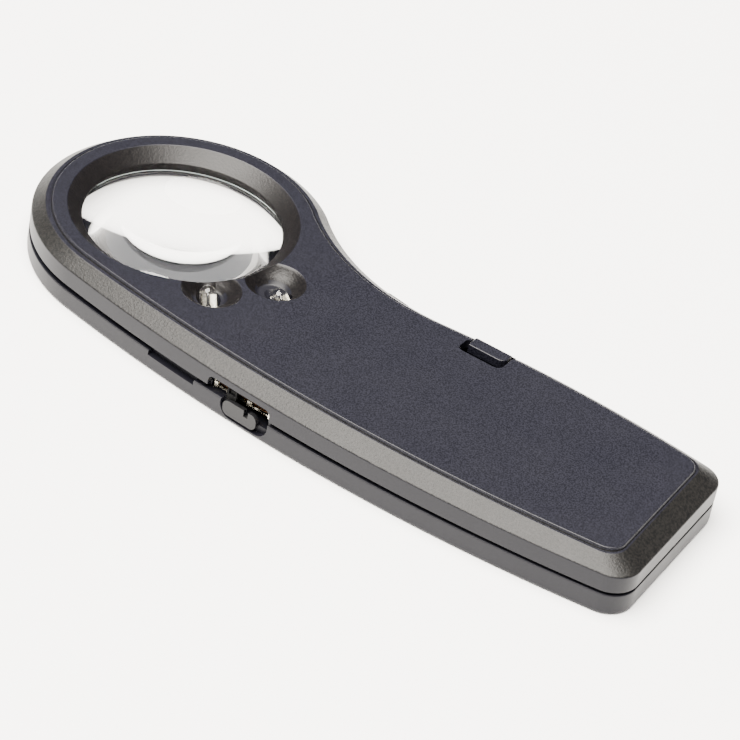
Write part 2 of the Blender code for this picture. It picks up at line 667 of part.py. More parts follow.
def positive_contact():
    """Leaf that presses on the rim of the lower cell."""
    side = BAY[0] - CELL_R - GAP - CONTACT_T / 2
    return strip([(contact_foot + 0.6, cell_low + 0.2), (side, cell_low + 0.2),
                  (side, cell_low + CELL_T - 0.2)], CONTACT_W, BAY[1])


# ------------------------------------------------------------------ electronics

def pin_places():
    """The three legs of the slide switch, along the switch."""
    middle = (CAN[0] + CAN[1]) / 2
    return [(middle - 3.0, "common"), (middle, "white"), (middle + 3.0, "off")]


def pin_depth():
    return CAN_FRONT + CAN_DEPTH / 2


def circuit_board():
    board = box(BOARD_X, BOARD_Y, (BOARD_Z, board_top))
    holes = [cylinder(0.4 + GAP, (0, THICKNESS), (x, pin_depth()), 12, near_wall)
             for x, _ in pin_places()]
    return cut(board, *holes)


def switch_can():
    """Folded metal frame, open below, with two windows in front and a lug at each post."""
    z = (CAN_LOW, CAN_LOW + CAN_H)
    back = CAN_FRONT + CAN_DEPTH
    can = box(CAN, (CAN_FRONT, back), z, near_wall)
    inside = box((CAN[0] + CAN_SHEET, CAN[1] - CAN_SHEET), (CAN_FRONT + CAN_SHEET, back - CAN_SHEET),
                 (z[0] - 1.0, z[1] - CAN_SHEET), near_wall)
    post = LEVER_X + LEVER_W / 2 + SWITCH_TRAVEL + GAP
    windows = [box(x, (0, CAN_FRONT + 1.0), (z[0] + 0.35, z[1] - 0.6), near_wall)
               for x in ((CAN[0] + 0.9, post), (post + CAN_POST, CAN[1] - 0.6))]
    lugs = [box((x - 0.35, x + 0.35), (CAN_FRONT - CAN_LUG, CAN_FRONT + 0.1),
                (z[0] + 0.05, z[0] + 1.1), near_wall)
            for x in (CAN[0] + 0.5, post + CAN_POST / 2, CAN[1] - 0.5)]
    cut(can, inside, *windows)
    return join(can, *lugs)


def switch_base():
    x = (CAN[0] + CAN_SHEET + GAP, CAN[1] - CAN_SHEET - GAP)
    y = (CAN_FRONT + CAN_SHEET + GAP, CAN_FRONT + CAN_DEPTH - CAN_SHEET - GAP)
    base = box(x, y, (CAN_LOW, CAN_LOW + 0.4), near_wall)
    return cut(base, *[cylinder(0.3 + GAP, (0, THICKNESS), (px, pin_depth()), 12, near_wall)
                       for px, _ in pin_places()])


def switch_pin(x):
    return cylinder(0.3, (BOARD_Z - 0.6, CAN_LOW + 0.5), (x, pin_depth()), 8, near_wall)


def switch_wiper():
    """Sliding bridge under the lever block."""
    y = pin_depth()
    return box((LEVER_X - 2.2, LEVER_X + 1.9), (y - 0.7, y + 0.7), (CAN_LOW + 0.75, CAN_LOW + 0.95),
               near_wall)


def switch_lever():
    """Sliding block inside the frame, with the lever that stands out of its window."""
    z0 = CAN_LOW + 1.2
    y = (CAN_FRONT + CAN_SHEET + GAP, CAN_FRONT + CAN_DEPTH - CAN_SHEET - GAP)
    block = box((LEVER_X - 1.9, LEVER_X + 1.7), y, (z0, CAN_LOW + CAN_H - CAN_SHEET - GAP), near_wall)
    lever = box((LEVER_X - LEVER_W / 2, LEVER_X + LEVER_W / 2), (CAN_FRONT - 0.9, y[0] + 0.5),
                (z0, z0 + 0.5), near_wall)
    return join(block, lever)


def switch_knob():
    """Thumb piece in the recess, with a fork behind it that grips the lever."""
    thumb = rounded(KNOB, (KNOB_LOW, KNOB_TOP), 1.2, (0.1, 0.1 + KNOB_T), near_wall)
    fork_y = (0.1 + KNOB_T - 0.2, CAN_FRONT - CAN_LUG - GAP)
    outer, inner = 1.0, LEVER_W / 2 + 0.2
    low_z, floor_z, top_z = 2.4, CAN_LOW + 1.0, CAN_LOW + 2.1
    fork = plate([(LEVER_X - outer, low_z), (LEVER_X + outer, low_z), (LEVER_X + outer, top_z),
                  (LEVER_X + inner, top_z), (LEVER_X + inner, floor_z), (LEVER_X - inner, floor_z),
                  (LEVER_X - inner, top_z), (LEVER_X - outer, top_z)], fork_y, near_wall)
    notch = box(KNOB_NOTCH, (-1.0, 0.1 + KNOB_T + 0.2), (2.7, KNOB_TOP + 1.0), near_wall)
    return cut(join(thumb, fork), notch)


def uv_button():
    """Stadium-shaped cap with a flange that keeps it inside the wall, and a nose for the plunger."""
    cap = rounded((-BUTTON_W / 2, BUTTON_W / 2), (BUTTON_Z - BUTTON_H / 2, BUTTON_Z + BUTTON_H / 2),
                  BUTTON_H / 2 - 0.3, (-WALL - 0.8, BUTTON_PROUD), far_wall)
    flange = box((-BUTTON_W / 2 - 0.9, BUTTON_W / 2 + 0.9), (-WALL - 1.4, -WALL - 0.6),
                 (BUTTON_Z - 1.2, BUTTON_Z + 1.2), far_wall)
    nose = box((-0.8, 0.8), (-WALL - NOSE_END, -WALL - 1.2), (BUTTON_Z - 0.8, BUTTON_Z + 0.8), far_wall)
    return join(cap, flange, nose)


tact_front = -WALL - NOSE_END - GAP - PLUNGER_OUT
tact_turn = Matrix.Translation((0, 0, BUTTON_Z)) @ Matrix.Rotation(math.radians(90), 4, "X")


def tact_switch():
    body = box((-TACT_W / 2, TACT_W / 2), (tact_front - TACT_D, tact_front),
               (board_top + GAP, board_top + GAP + TACT_H), far_wall)
    depth = PLUNGER_IN + BUTTON_TRAVEL + GAP
    bore = cylinder(PLUNGER_R + GAP, (-tact_front - 1.0, -tact_front + depth), sides=16,
                    matrix=far_wall @ tact_turn)
    return cut(body, bore)


def tact_plunger():
    return cylinder(PLUNGER_R, (-tact_front - PLUNGER_OUT, -tact_front + PLUNGER_IN), sides=16,
                    matrix=far_wall @ tact_turn)


def resistor(x, y):
    """Small axial resistor lying on the board, along Y."""
    z = board_top + GAP + 0.95
    turn = Matrix.Translation((x, y, z)) @ Matrix.Rotation(math.radians(90), 4, "X")
    profile = [(0, -3.4), (0.25, -3.4), (0.25, -1.9), (0.75, -1.8), (0.95, -1.5), (0.95, -1.1),
               (0.75, -0.9), (0.75, 0.9), (0.95, 1.1), (0.95, 1.5), (0.75, 1.8), (0.25, 1.9),
               (0.25, 3.4), (0, 3.4)]
    return turned(profile, 12, turn)


def case_screw(place):
    """Pan-head screw seen from below: cross slot in the head, plain shank."""
    head = 0.2
    profile = [(0, head), (SCREW_HEAD_R - 0.5, head), (SCREW_HEAD_R, head + 0.4),
               (SCREW_HEAD_R, head + SCREW_HEAD_T), (SCREW_SHANK_R, head + SCREW_HEAD_T),
               (SCREW_SHANK_R, SCREW_LEN + 0.6), (0.3, SCREW_LEN + 1.4), (0, SCREW_LEN + 1.4)]
    screw = turned(profile, 14, Matrix.Translation((place[0], place[1], 0)))
    cross = [box((place[0] - a, place[0] + a), (place[1] - b, place[1] + b), (-1.0, head + 0.5))
             for a, b in ((1.2, 0.25), (0.25, 1.2))]
    return cut(screw, join(*cross))


# ------------------------------------------------------------------ assembly

CHARCOAL = (0.055, 0.055, 0.062)
BLACK = (0.02, 0.02, 0.022)
TINNED = (0.72, 0.71, 0.68)
BRASS = (0.75, 0.6, 0.32)
STEEL = (0.7, 0.7, 0.7)

make(top_shell(), "top_shell", material("top_shell_abs", CHARCOAL, 0.55))
make(bottom_shell(), "bottom_shell", material("bottom_shell_abs", CHARCOAL, 0.55))
make(lens(), "lens", material("lens_acrylic", (0.95, 0.98, 0.97), 0.03, alpha=0.35, transmission=1.0))
make(gasket(), "lens_gasket", material("gasket_rubber", BLACK, 0.8))
make(led(LAMPS["white_led"]), "white_led", material("white_led_epoxy", (0.9, 0.92, 0.9), 0.08, alpha=0.6))
make(led(LAMPS["uv_led"]), "uv_led", material("uv_led_epoxy", (0.85, 0.85, 0.92), 0.08, alpha=0.6))

hinge = (BAY[0], COVER_NEAR, 0)
latch_root = (BAY[0], latch_wall - 0.7, 1.0)
make(battery_cover(), "battery_cover", material("cover_abs", CHARCOAL, 0.55), hinge)
make(cover_latch(), "cover_latch", material("latch_abs", CHARCOAL, 0.5), latch_root)
make(cell(cell_low), "battery_1", material("cell_1_steel", STEEL, 0.25, 1.0))
make(cell(cell_low + CELL_T + GAP), "battery_2", material("cell_2_steel", STEEL, 0.25, 1.0))
make(positive_contact(), "positive_contact", material("positive_nickel", TINNED, 0.3, 1.0))
make(negative_contact(), "negative_contact", material("negative_nickel", TINNED, 0.3, 1.0))

make(circuit_board(), "circuit_board", material("board_epoxy_glass", (0.03, 0.16, 0.07), 0.5))
make(switch_can(), "switch_can", material("can_tinned_steel", TINNED, 0.3, 1.0))
make(switch_base(), "switch_base", material("base_phenolic", (0.12, 0.06, 0.03), 0.6))
for place, use in pin_places():
    make(switch_pin(place), "switch_pin_" + use, material("pin_%s_brass" % use, BRASS, 0.3, 1.0))
switch_pivot = near_wall @ Vector((LEVER_X, 0, 0))
make(switch_knob(), "switch_knob", material("knob_abs", CHARCOAL, 0.5), switch_pivot)
make(switch_lever(), "switch_lever", material("lever_nylon", BLACK, 0.5), switch_pivot)
make(switch_wiper(), "switch_wiper", material("wiper_bronze", BRASS, 0.3, 1.0), switch_pivot)

button_pivot = far_wall.translation
make(uv_button(), "uv_button", material("button_abs", CHARCOAL, 0.5), button_pivot)
make(tact_switch(), "tact_switch", material("tact_nylon", BLACK, 0.5))
make(tact_plunger(), "tact_plunger", material("plunger_nylon", (0.35, 0.33, 0.3), 0.5), button_pivot)

make(resistor(34.0, -10.0), "white_resistor", material("white_resistor_body", (0.5, 0.36, 0.2), 0.5))
make(resistor(37.5, -10.0), "uv_resistor", material("uv_resistor_body", (0.2, 0.35, 0.5), 0.5))

wire_z = board_top + GAP + 0.5
red = [(contact_foot + 0.6, BAY[1] - 3.0, cell_low + 1.0), (contact_foot + 0.5, BAY[1] - 3.6, wire_z),
       (contact_foot - 0.6, BAY[1] - 4.4, wire_z + 1.0), (contact_foot - 5.0, BAY[1] - 5.0, wire_z)]
black = [(contact_foot - 1.0, BAY[1] + 1.0, board_top + 2.6),
         (contact_foot - 2.2, BAY[1] + 3.4, wire_z + 1.0),
         (contact_foot - 5.4, BAY[1] + 5.4, wire_z)]
make(tube(smooth_route(red), 0.5), "red_wire", material("red_wire_pvc", (0.5, 0.03, 0.03), 0.4))
make(tube(smooth_route(black), 0.5), "black_wire", material("black_wire_pvc", BLACK, 0.4))

for number, place in enumerate(SCREWS, 1):
    make(case_screw(place), "case_screw_%d" % number,
         material("screw_%d_zinc" % number, STEEL, 0.35, 1.0))
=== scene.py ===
"""Looks of an illuminated hand magnifier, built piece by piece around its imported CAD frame.

Meshes are drawn in millimetres in the design frame: origin on the lens axis at the underside, +X along
the handle, +Z up. settle() moves a finished mesh to its place in the part, in metres.
"""

import math

import bmesh
import bpy
from mathutils import Matrix, Vector


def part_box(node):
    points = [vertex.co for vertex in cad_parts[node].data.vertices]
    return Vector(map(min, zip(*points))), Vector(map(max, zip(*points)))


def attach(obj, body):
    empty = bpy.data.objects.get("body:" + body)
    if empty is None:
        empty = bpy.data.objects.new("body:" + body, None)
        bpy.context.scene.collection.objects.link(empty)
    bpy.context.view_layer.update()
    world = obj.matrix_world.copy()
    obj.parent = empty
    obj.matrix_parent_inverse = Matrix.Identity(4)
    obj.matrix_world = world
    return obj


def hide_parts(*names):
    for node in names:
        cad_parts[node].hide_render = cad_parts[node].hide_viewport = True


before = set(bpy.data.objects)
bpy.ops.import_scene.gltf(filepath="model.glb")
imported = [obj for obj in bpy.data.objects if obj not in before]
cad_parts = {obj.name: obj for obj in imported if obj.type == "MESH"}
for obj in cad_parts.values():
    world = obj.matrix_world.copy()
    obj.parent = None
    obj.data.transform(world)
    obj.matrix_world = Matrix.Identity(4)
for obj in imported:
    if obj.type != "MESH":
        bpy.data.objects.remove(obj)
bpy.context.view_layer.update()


# ================================================================== bottom casing half
# The lower half of the casing is one ABS moulding: a tray with a lip that plugs into the upper half, a
# bore for the lens, bosses for the screws and a square opening for the battery cover. Its outside is
# satin from the mould, without the texture of the top.

MM = 0.001
GAP = 0.3    # play between pieces that fit into each other

# The outline: a round head, a bowed near side, a far side that curves into the neck, and a tilted end.
HEAD_R = 26.5
NEAR_X, NEAR_Y = 59.6, HEAD_R + 6.2
FAR_X, FAR_Y, FAR_R = 71.0, 9.3, 243.0
NECK_R = 40.0
END_DIST, END_TILT = 106.77, 2.14
CORNER_NEAR, CORNER_FAR, CORNER_SHRINK = 5.0, 4.5, 0.45
OUTLINE_STEPS = {"head": 168, "near": 60, "corner": 14, "far": 40, "neck": 40}

# Heights and wall thicknesses of the tray. The gap below the upper half is wider at the head.
PARTING = 4.6
PARTING_GAP_HEAD, PARTING_GAP_END = 1.15, 0.56
FLOOR, WALL, LIP_T, LIP_TOP, BASE_ROUND = 1.5, 2.3, 0.9, 6.2, 0.7

# What the tray holds, and the openings for it.
LENS_R, LENS_LOW = 19.0, 4.6
RING_WALL_R = LENS_R + 2.4
GASKET_H, GASKET_OUT = 1.6, 0.5
BOARD_X, BOARD_Y, BOARD_Z, BOARD_POST_R = (28.2, 44.6), (5.7 - NEAR_Y, 2.6), 2.6, 1.2
BOSS_R, SCREW_R, SCREW_HEAD_R, SCREW_HEAD_T = 2.7, 1.0, 2.0, 1.0
SCREWS = [(26.5, 7.0), (23.5, -24.6), (END_DIST - 7.2, -24.2), (END_DIST - 7.4, 0.2)]
BAY = (60.6, -11.5)
COVER_W, COVER_NEAR, COVER_FAR = 26.0, -25.0, 4.6
HOOK_W, HOOK_IN = 4.0, 4.6
LATCH_W, LATCH_ROOM = 7.2, 0.4
SWITCH_X, SWITCH_OPEN, SWITCH_OPEN_TOP = 35.0, (-7.2, 6.0), 6.7
KNOB, SWITCH_TRAVEL = (-3.5, 3.6), 1.8
RECESS = (KNOB[0] - 0.5, KNOB[1] + SWITCH_TRAVEL + 0.6)
RECESS_LOW, RECESS_HIGH, RECESS_DEPTH = 0.6, 5.5, 1.15
BUTTON_X, BUTTON_Z, BUTTON_W, BUTTON_H = 39.4, 5.4, 7.0, 3.8
BUTTON_ROUND = BUTTON_H / 2 - 0.3
SIDE_NOTCH_X, SIDE_NOTCH = 19.8, (-5.2, 5.2)    # low stretch of the outer wall's rim, in front of the lip


def on_circle(centre, radius, degrees):
    """Point of a circle, at an angle from +X."""
    a = math.radians(degrees)
    return Vector((centre[0] + radius * math.cos(a), centre[1] + radius * math.sin(a)))


def heading(start, end):
    """Direction from start to end, in degrees."""
    return math.degrees(math.atan2(end[1] - start[1], end[0] - start[0]))


def arc(centre, radius, start, end, steps):
    """Points of an arc without its last one."""
    return [on_circle(centre, radius, start + (end - start) * i / steps) for i in range(steps)]


def bow(apex_x, apex_y, head_r):
    """Circle that touches the head from outside and has its lowest point at (apex_x, -apex_y)."""
    radius = (apex_x ** 2 + apex_y ** 2 - head_r ** 2) / (2 * (apex_y - head_r))
    return Vector((apex_x, radius - apex_y)), radius


def meet(a, ra, b, rb):
    """The right-hand meeting point of two circles."""
    a, b = Vector(a), Vector(b)
    d = b - a
    along = (ra ** 2 - rb ** 2 + d.length_squared) / (2 * d.length)
    across = math.sqrt(ra ** 2 - along ** 2)
    u = d.normalized()
    return a + u * along + Vector((-u.y, u.x)) * across


def corner(centre, reach, end_dist, radius, side):
    """Centre of a corner fillet inside an arc of the given reach and inside the end edge."""
    n = on_circle((0, 0), 1.0, END_TILT)
    t = Vector((-n.y, n.x))
    d = end_dist - radius
    s = centre.dot(t) + side * math.sqrt((reach - radius) ** 2 - (d - centre.dot(n)) ** 2)
    return n * d + t * s


def plan(inset):
    """The circles that make the casing's outline, moved inwards at head, near side, end and far side."""
    head, near, end, far = inset
    h = HEAD_R - head
    near_c, near_r = bow(NEAR_X, NEAR_Y - near, h)
    far_r = FAR_R - far
    far_c = Vector((FAR_X, FAR_Y - FAR_R))
    neck_r = NECK_R + (head + far) / 2
    neck_c = meet((0, 0), h + neck_r, far_c, far_r + neck_r)
    if neck_c.x < 0:
        neck_c = meet(far_c, far_r + neck_r, (0, 0), h + neck_r)
    r1 = CORNER_NEAR - CORNER_SHRINK * near
    r2 = CORNER_FAR - CORNER_SHRINK * far
    c1 = corner(near_c, near_r, END_DIST - end, r1, -1)
    c2 = corner(far_c, far_r, END_DIST - end, r2, 1)
    return {"head": ((0, 0), h), "near": (near_c, near_r), "far": (far_c, far_r),
            "neck": (neck_c, neck_r), "low_corner": (c1, r1), "high_corner": (c2, r2)}


def outline(inset):
    """Closed outline, anticlockwise, always with the same number of points."""
    p = plan(inset)
    (head_c, head_r), (near_c, near_r), (far_c, far_r) = p["head"], p["near"], p["far"]
    (neck_c, neck_r), (c1, r1), (c2, r2) = p["neck"], p["low_corner"], p["high_corner"]
    near_start, near_end = heading(near_c, head_c) % 360, heading(near_c, c1) % 360
    far_start = heading(far_c, c2)
    n = OUTLINE_STEPS
    points = arc(head_c, head_r, heading(head_c, neck_c), near_start, n["head"])
    points += arc(near_c, near_r, near_start, near_end, n["near"])
    points += arc(c1, r1, near_end, 360 + END_TILT, n["corner"])
    points += [on_circle(c1, r1, END_TILT)]
    points += arc(c2, r2, END_TILT, far_start, n["corner"])
    points += arc(far_c, far_r, far_start, heading(far_c, neck_c), n["far"])
    points += arc(neck_c, neck_r, heading(neck_c, far_c), heading(neck_c, head_c), n["neck"])
    return points


def near_frame(x):
    """Frame on the near wall: X along the wall, +Y into the casing."""
    centre, radius = plan((0,) * 4)["near"]
    angle = math.degrees(math.asin((x - centre.x) / radius))
    point = on_circle(centre, radius, 270 + angle)
    return Matrix.Translation((point.x, point.y, 0)) @ Matrix.Rotation(math.radians(angle), 4, "Z")


def far_frame(x):
    """Frame on the far wall, in the neck or behind it: X along the wall, +Y out of the casing."""
    p = plan((0,) * 4)
    neck_c, neck_r = p["neck"]
    far_c, far_r = p["far"]
    if x < neck_c.x + (far_c.x - neck_c.x) * neck_r / (neck_r + far_r):
        angle = math.degrees(math.asin((x - neck_c.x) / neck_r))
        point = on_circle(neck_c, neck_r, 270 + angle)
    else:
        angle = -math.degrees(math.asin((x - far_c.x) / far_r))
        point = on_circle(far_c, far_r, 90 + angle)
    return Matrix.Translation((point.x, point.y, 0)) @ Matrix.Rotation(math.radians(angle), 4, "Z")


def level(inset, z):
    """One level of a shell's skin: inset at head, near side, end and far side, and height."""
    return (*(inset if isinstance(inset, tuple) else (inset,) * 4), z)


def bend(a, b, c, steps=5):
    """Levels that turn smoothly from a to c, pulled towards the corner b."""
    turn = []
    for i in range(steps + 1):
        t = i / steps
        turn.append(tuple((1 - t) ** 2 * p + 2 * t * (1 - t) * q + t * t * r for p, q, r in zip(a, b, c)))
    return turn


def finish(bm, matrix=None):
    """Closes a mesh with outward faces and returns it as a new, still nameless object."""
    bmesh.ops.recalc_face_normals(bm, faces=bm.faces)
    if matrix is not None:
        bmesh.ops.transform(bm, matrix=matrix, verts=bm.verts)
    mesh = bpy.data.meshes.new("solid")
    bm.to_mesh(mesh)
    bm.free()
    obj = bpy.data.objects.new("solid", mesh)
    bpy.context.scene.collection.objects.link(obj)
    return obj


def solid_through(loops, matrix=None):
    """Solid through closed loops with the same number of points, with its two ends filled."""
    bm = bmesh.new()
    rings = [[bm.verts.new(point) for point in loop] for loop in loops]
    count = len(rings[0])
    for low, high in zip(rings, rings[1:]):
        for i in range(count):
            j = (i + 1) % count
            bm.faces.new((low[i], low[j], high[j], high[i]))
    bm.faces.new(rings[0])
    bm.faces.new(rings[-1])
    return finish(bm, matrix)


def loft(loops, matrix=None):
    """Solid through level loops. A loop is (points, z), and z may be a function of the point."""
    return solid_through([[(p[0], p[1], z(p) if callable(z) else z) for p in points]
                          for points, z in loops], matrix)


def skin(levels):
    """Solid through the levels of a shell."""
    return loft([(outline(p[:4]), p[4]) for p in levels])


def box(x, y, z, matrix=None):
    """Block between the two limits given for each axis."""
    (x0, x1), (y0, y1), (z0, z1) = x, y, z
    rectangle = [(x0, y0), (x1, y0), (x1, y1), (x0, y1)]
    return loft([(rectangle, z0), (rectangle, z1)], matrix)


def cylinder(radius, z, centre=(0, 0), sides=48, matrix=None):
    """Upright cylinder from z[0] to z[1]."""
    circle = arc(centre, radius, 0, 360, sides)
    return loft([(circle, z[0]), (circle, z[1])], matrix)


def turned(profile, sides=48, matrix=None):
    """Solid of revolution about Z. The profile is (radius, z) and starts and ends on the axis."""
    bm = bmesh.new()
    verts = [bm.verts.new((r, 0, z)) for r, z in profile]
    edges = [bm.edges.new(pair) for pair in zip(verts, verts[1:])]
    bmesh.ops.spin(bm, geom=verts + edges, cent=(0, 0, 0), axis=(0, 0, 1),
                   angle=math.tau, steps=sides, use_merge=True)
    bmesh.ops.remove_doubles(bm, verts=bm.verts, dist=1e-5)
    return finish(bm, matrix)


def plate(points, y, matrix=None):
    """Solid with the given (x, z) outline, from y[0] to y[1]."""
    return solid_through([[(px, depth, pz) for px, pz in points] for depth in y], matrix)


def stadium(x, z, radius, steps=10):
    """Rectangle in X and Z with round corners."""
    (x0, x1), (z0, z1) = x, z
    points = arc((x1 - radius, z1 - radius), radius, 0, 90, steps) + [(x1 - radius, z1)]
    points += arc((x0 + radius, z1 - radius), radius, 90, 180, steps) + [(x0, z1 - radius)]
    points += arc((x0 + radius, z0 + radius), radius, 180, 270, steps) + [(x0 + radius, z0)]
    return points + arc((x1 - radius, z0 + radius), radius, 270, 360, steps) + [(x1, z0 + radius)]


def combine(target, tools, operation):
    """Cuts or joins the tools with the target, keeps the result and removes the tools."""
    for piece in tools:
        modifier = target.modifiers.new("combine", "BOOLEAN")
        modifier.operation = operation
        modifier.solver = "EXACT"
        modifier.object = piece
    bpy.context.view_layer.update()
    graph = bpy.context.evaluated_depsgraph_get()
    mesh = bpy.data.meshes.new_from_object(target.evaluated_get(graph))
    target.modifiers.clear()
    target.data = mesh
    for piece in tools:
        bpy.data.objects.remove(piece)
    return target


def cut(target, *tools):
    """Takes the tools away. They reach past the faces that they open."""
    return combine(target, tools, "DIFFERENCE")


def join(target, *tools):
    """Adds the tools. Those that touch the target sink a little into it, so that no faces coincide."""
    return combine(target, tools, "UNION")


def linear(code):
    """Linear RGBA of an sRGB hex colour."""
    parts = [int(code[i:i + 2], 16) / 255 for i in (1, 3, 5)]
    return (*[c / 12.92 if c <= 0.04045 else ((c + 0.055) / 1.055) ** 2.4 for c in parts], 1.0)


def add(mat, kind, sockets=None, links=None, **settings):
    """Adds a node with its settings, the values of its sockets and the outputs linked to them."""
    node = mat.node_tree.nodes.new(kind)
    for name, value in settings.items():
        setattr(node, name, value)
    for name, value in (sockets or {}).items():
        node.inputs[name].default_value = value
    for name, output in (links or {}).items():
        mat.node_tree.links.new(output, node.inputs[name])
    return node


def blank(name, **shader):
    """New material with only a Principled shader, whose sockets are given by name."""
    mat = bpy.data.materials.new(name)
    mat.use_nodes = True
    node = mat.node_tree.nodes["Principled BSDF"]
    for socket, value in shader.items():
        node.inputs[socket.replace("_", " ")].default_value = value
    return mat


def plug(mat, socket, output):
    """Links an output to a socket of the material's Principled shader."""
    mat.node_tree.links.new(output, mat.node_tree.nodes["Principled BSDF"].inputs[socket])


CLOUD_MM, ROUGH_SWING, BUMP_STRENGTH = 9, 0.05, 0.6


def moulded(name, dark, light, rough, grain_mm, depth_mm, contrast, ior=1.54, gloss=0.2):
    """Plastic as it leaves a textured mould: two close shades in fine grains, each grain a low bump.

    Gloss is the specular level, 0.5 on bare plastic. It is set lower, because the white table would
    otherwise show too light in the black faces. Wide clouds vary the roughness a little.
    """
    mat = blank(name, IOR=ior, Specular_IOR_Level=gloss)
    where = add(mat, "ShaderNodeTexCoord")
    grain = add(mat, "ShaderNodeTexNoise", {"Scale": 1 / (grain_mm * MM), "Detail": 2.5, "Roughness": 0.65},
                {"Vector": where.outputs["Object"]})
    cloud = add(mat, "ShaderNodeTexNoise", {"Scale": 1 / (CLOUD_MM * MM), "Detail": 2.0},
                {"Vector": where.outputs["Object"]})
    shade = add(mat, "ShaderNodeMapRange", {"From Min": 0.5 - contrast, "From Max": 0.5 + contrast},
                {"Value": grain.outputs["Fac"]})
    mixed = add(mat, "ShaderNodeMixRGB", {"Color1": linear(dark), "Color2": linear(light)},
                {"Fac": shade.outputs["Result"]})
    plug(mat, "Base Color", mixed.outputs["Color"])
    sheen = add(mat, "ShaderNodeMapRange", {"To Min": rough - ROUGH_SWING, "To Max": rough + ROUGH_SWING},
                {"Value": cloud.outputs["Fac"]})
    plug(mat, "Roughness", sheen.outputs["Result"])
    bump = add(mat, "ShaderNodeBump", {"Strength": BUMP_STRENGTH, "Distance": depth_mm * MM},
               {"Height": grain.outputs["Fac"]})
    plug(mat, "Normal", bump.outputs["Normal"])
    return mat


# The part's frame is found from its lens, whose axis is the origin of the drawing.
lens_low, lens_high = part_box("lens")
lens_axis = Vector(((lens_low[0] + lens_high[0]) / 2, (lens_low[1] + lens_high[1]) / 2, 0))
settled = Matrix.Translation(lens_axis) @ Matrix.Scale(MM, 4)


LEVEL_NORMAL_Z = 0.9999


def crease_flats(mesh):
    """Ends the smooth shading where a level face meets a sloping one, so that level faces stay flat."""
    bm = bmesh.new()
    bm.from_mesh(mesh)
    for edge in bm.edges:
        if len({abs(face.normal.z) > LEVEL_NORMAL_Z for face in edge.link_faces}) == 2:
            edge.smooth = False
    bm.to_mesh(mesh)
    bm.free()


def settle(piece, name, body, materials, pick=None, sharp=32.0, nodes=()):
    """Names a mesh, moves it to its place in the part, dresses it, and hands it to the frame."""
    piece.name = name
    piece.data.name = name
    piece.data.materials.clear()
    for mat in materials:
        piece.data.materials.append(mat)
    for face in piece.data.polygons:
        face.material_index = pick(face.center, face.normal) if pick else 0
    piece.data.transform(settled)
    piece.data.shade_smooth()
    piece.data.set_sharp_from_angle(angle=math.radians(sharp))
    crease_flats(piece.data)
    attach(piece, body)
    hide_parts(*nodes)
    return piece


def weigh(piece):
    """Lets large faces rule the shading, so that flat faces stay flat next to round edges."""
    modifier = piece.modifiers.new("flat faces", "WEIGHTED_NORMAL")
    modifier.keep_sharp = True
    modifier.weight = 100


def rim(point):
    """Top edge of the bottom half's wall: the parting gap narrows towards the end."""
    share = (point[0] + HEAD_R) / (END_DIST + HEAD_R)
    return PARTING - (PARTING_GAP_HEAD + (PARTING_GAP_END - PARTING_GAP_HEAD) * share)


near_wall = near_frame(SWITCH_X)
far_wall = far_frame(BUTTON_X)
latch_x = (BAY[0] - LATCH_W / 2, BAY[0] + LATCH_W / 2)
latch_wall = far_frame(BAY[0]).translation.y
cover_x = (BAY[0] - COVER_W / 2, BAY[0] + COVER_W / 2)
hook_x = (cover_x[0] + HOOK_IN, cover_x[1] - HOOK_IN)


def boss(centre, radius, z):
    """Post for a screw, or with another radius the hole or the room for it."""
    return cylinder(radius, z, centre, 32)


def button_hole():
    """Hole for the push button through the far wall."""
    hole = stadium((-BUTTON_W / 2 - GAP, BUTTON_W / 2 + GAP),
                   (BUTTON_Z - BUTTON_H / 2 - GAP, BUTTON_Z + BUTTON_H / 2 + GAP), BUTTON_ROUND + GAP)
    return plate(hole, (-WALL - 1.5, 3.0), far_wall)


def latch_slot(z):
    """Room for the latch, from the battery opening out through the far wall."""
    x = (latch_x[0] - LATCH_ROOM, latch_x[1] + LATCH_ROOM)
    return box(x, (COVER_FAR - 0.5, latch_wall + 2.0), z)


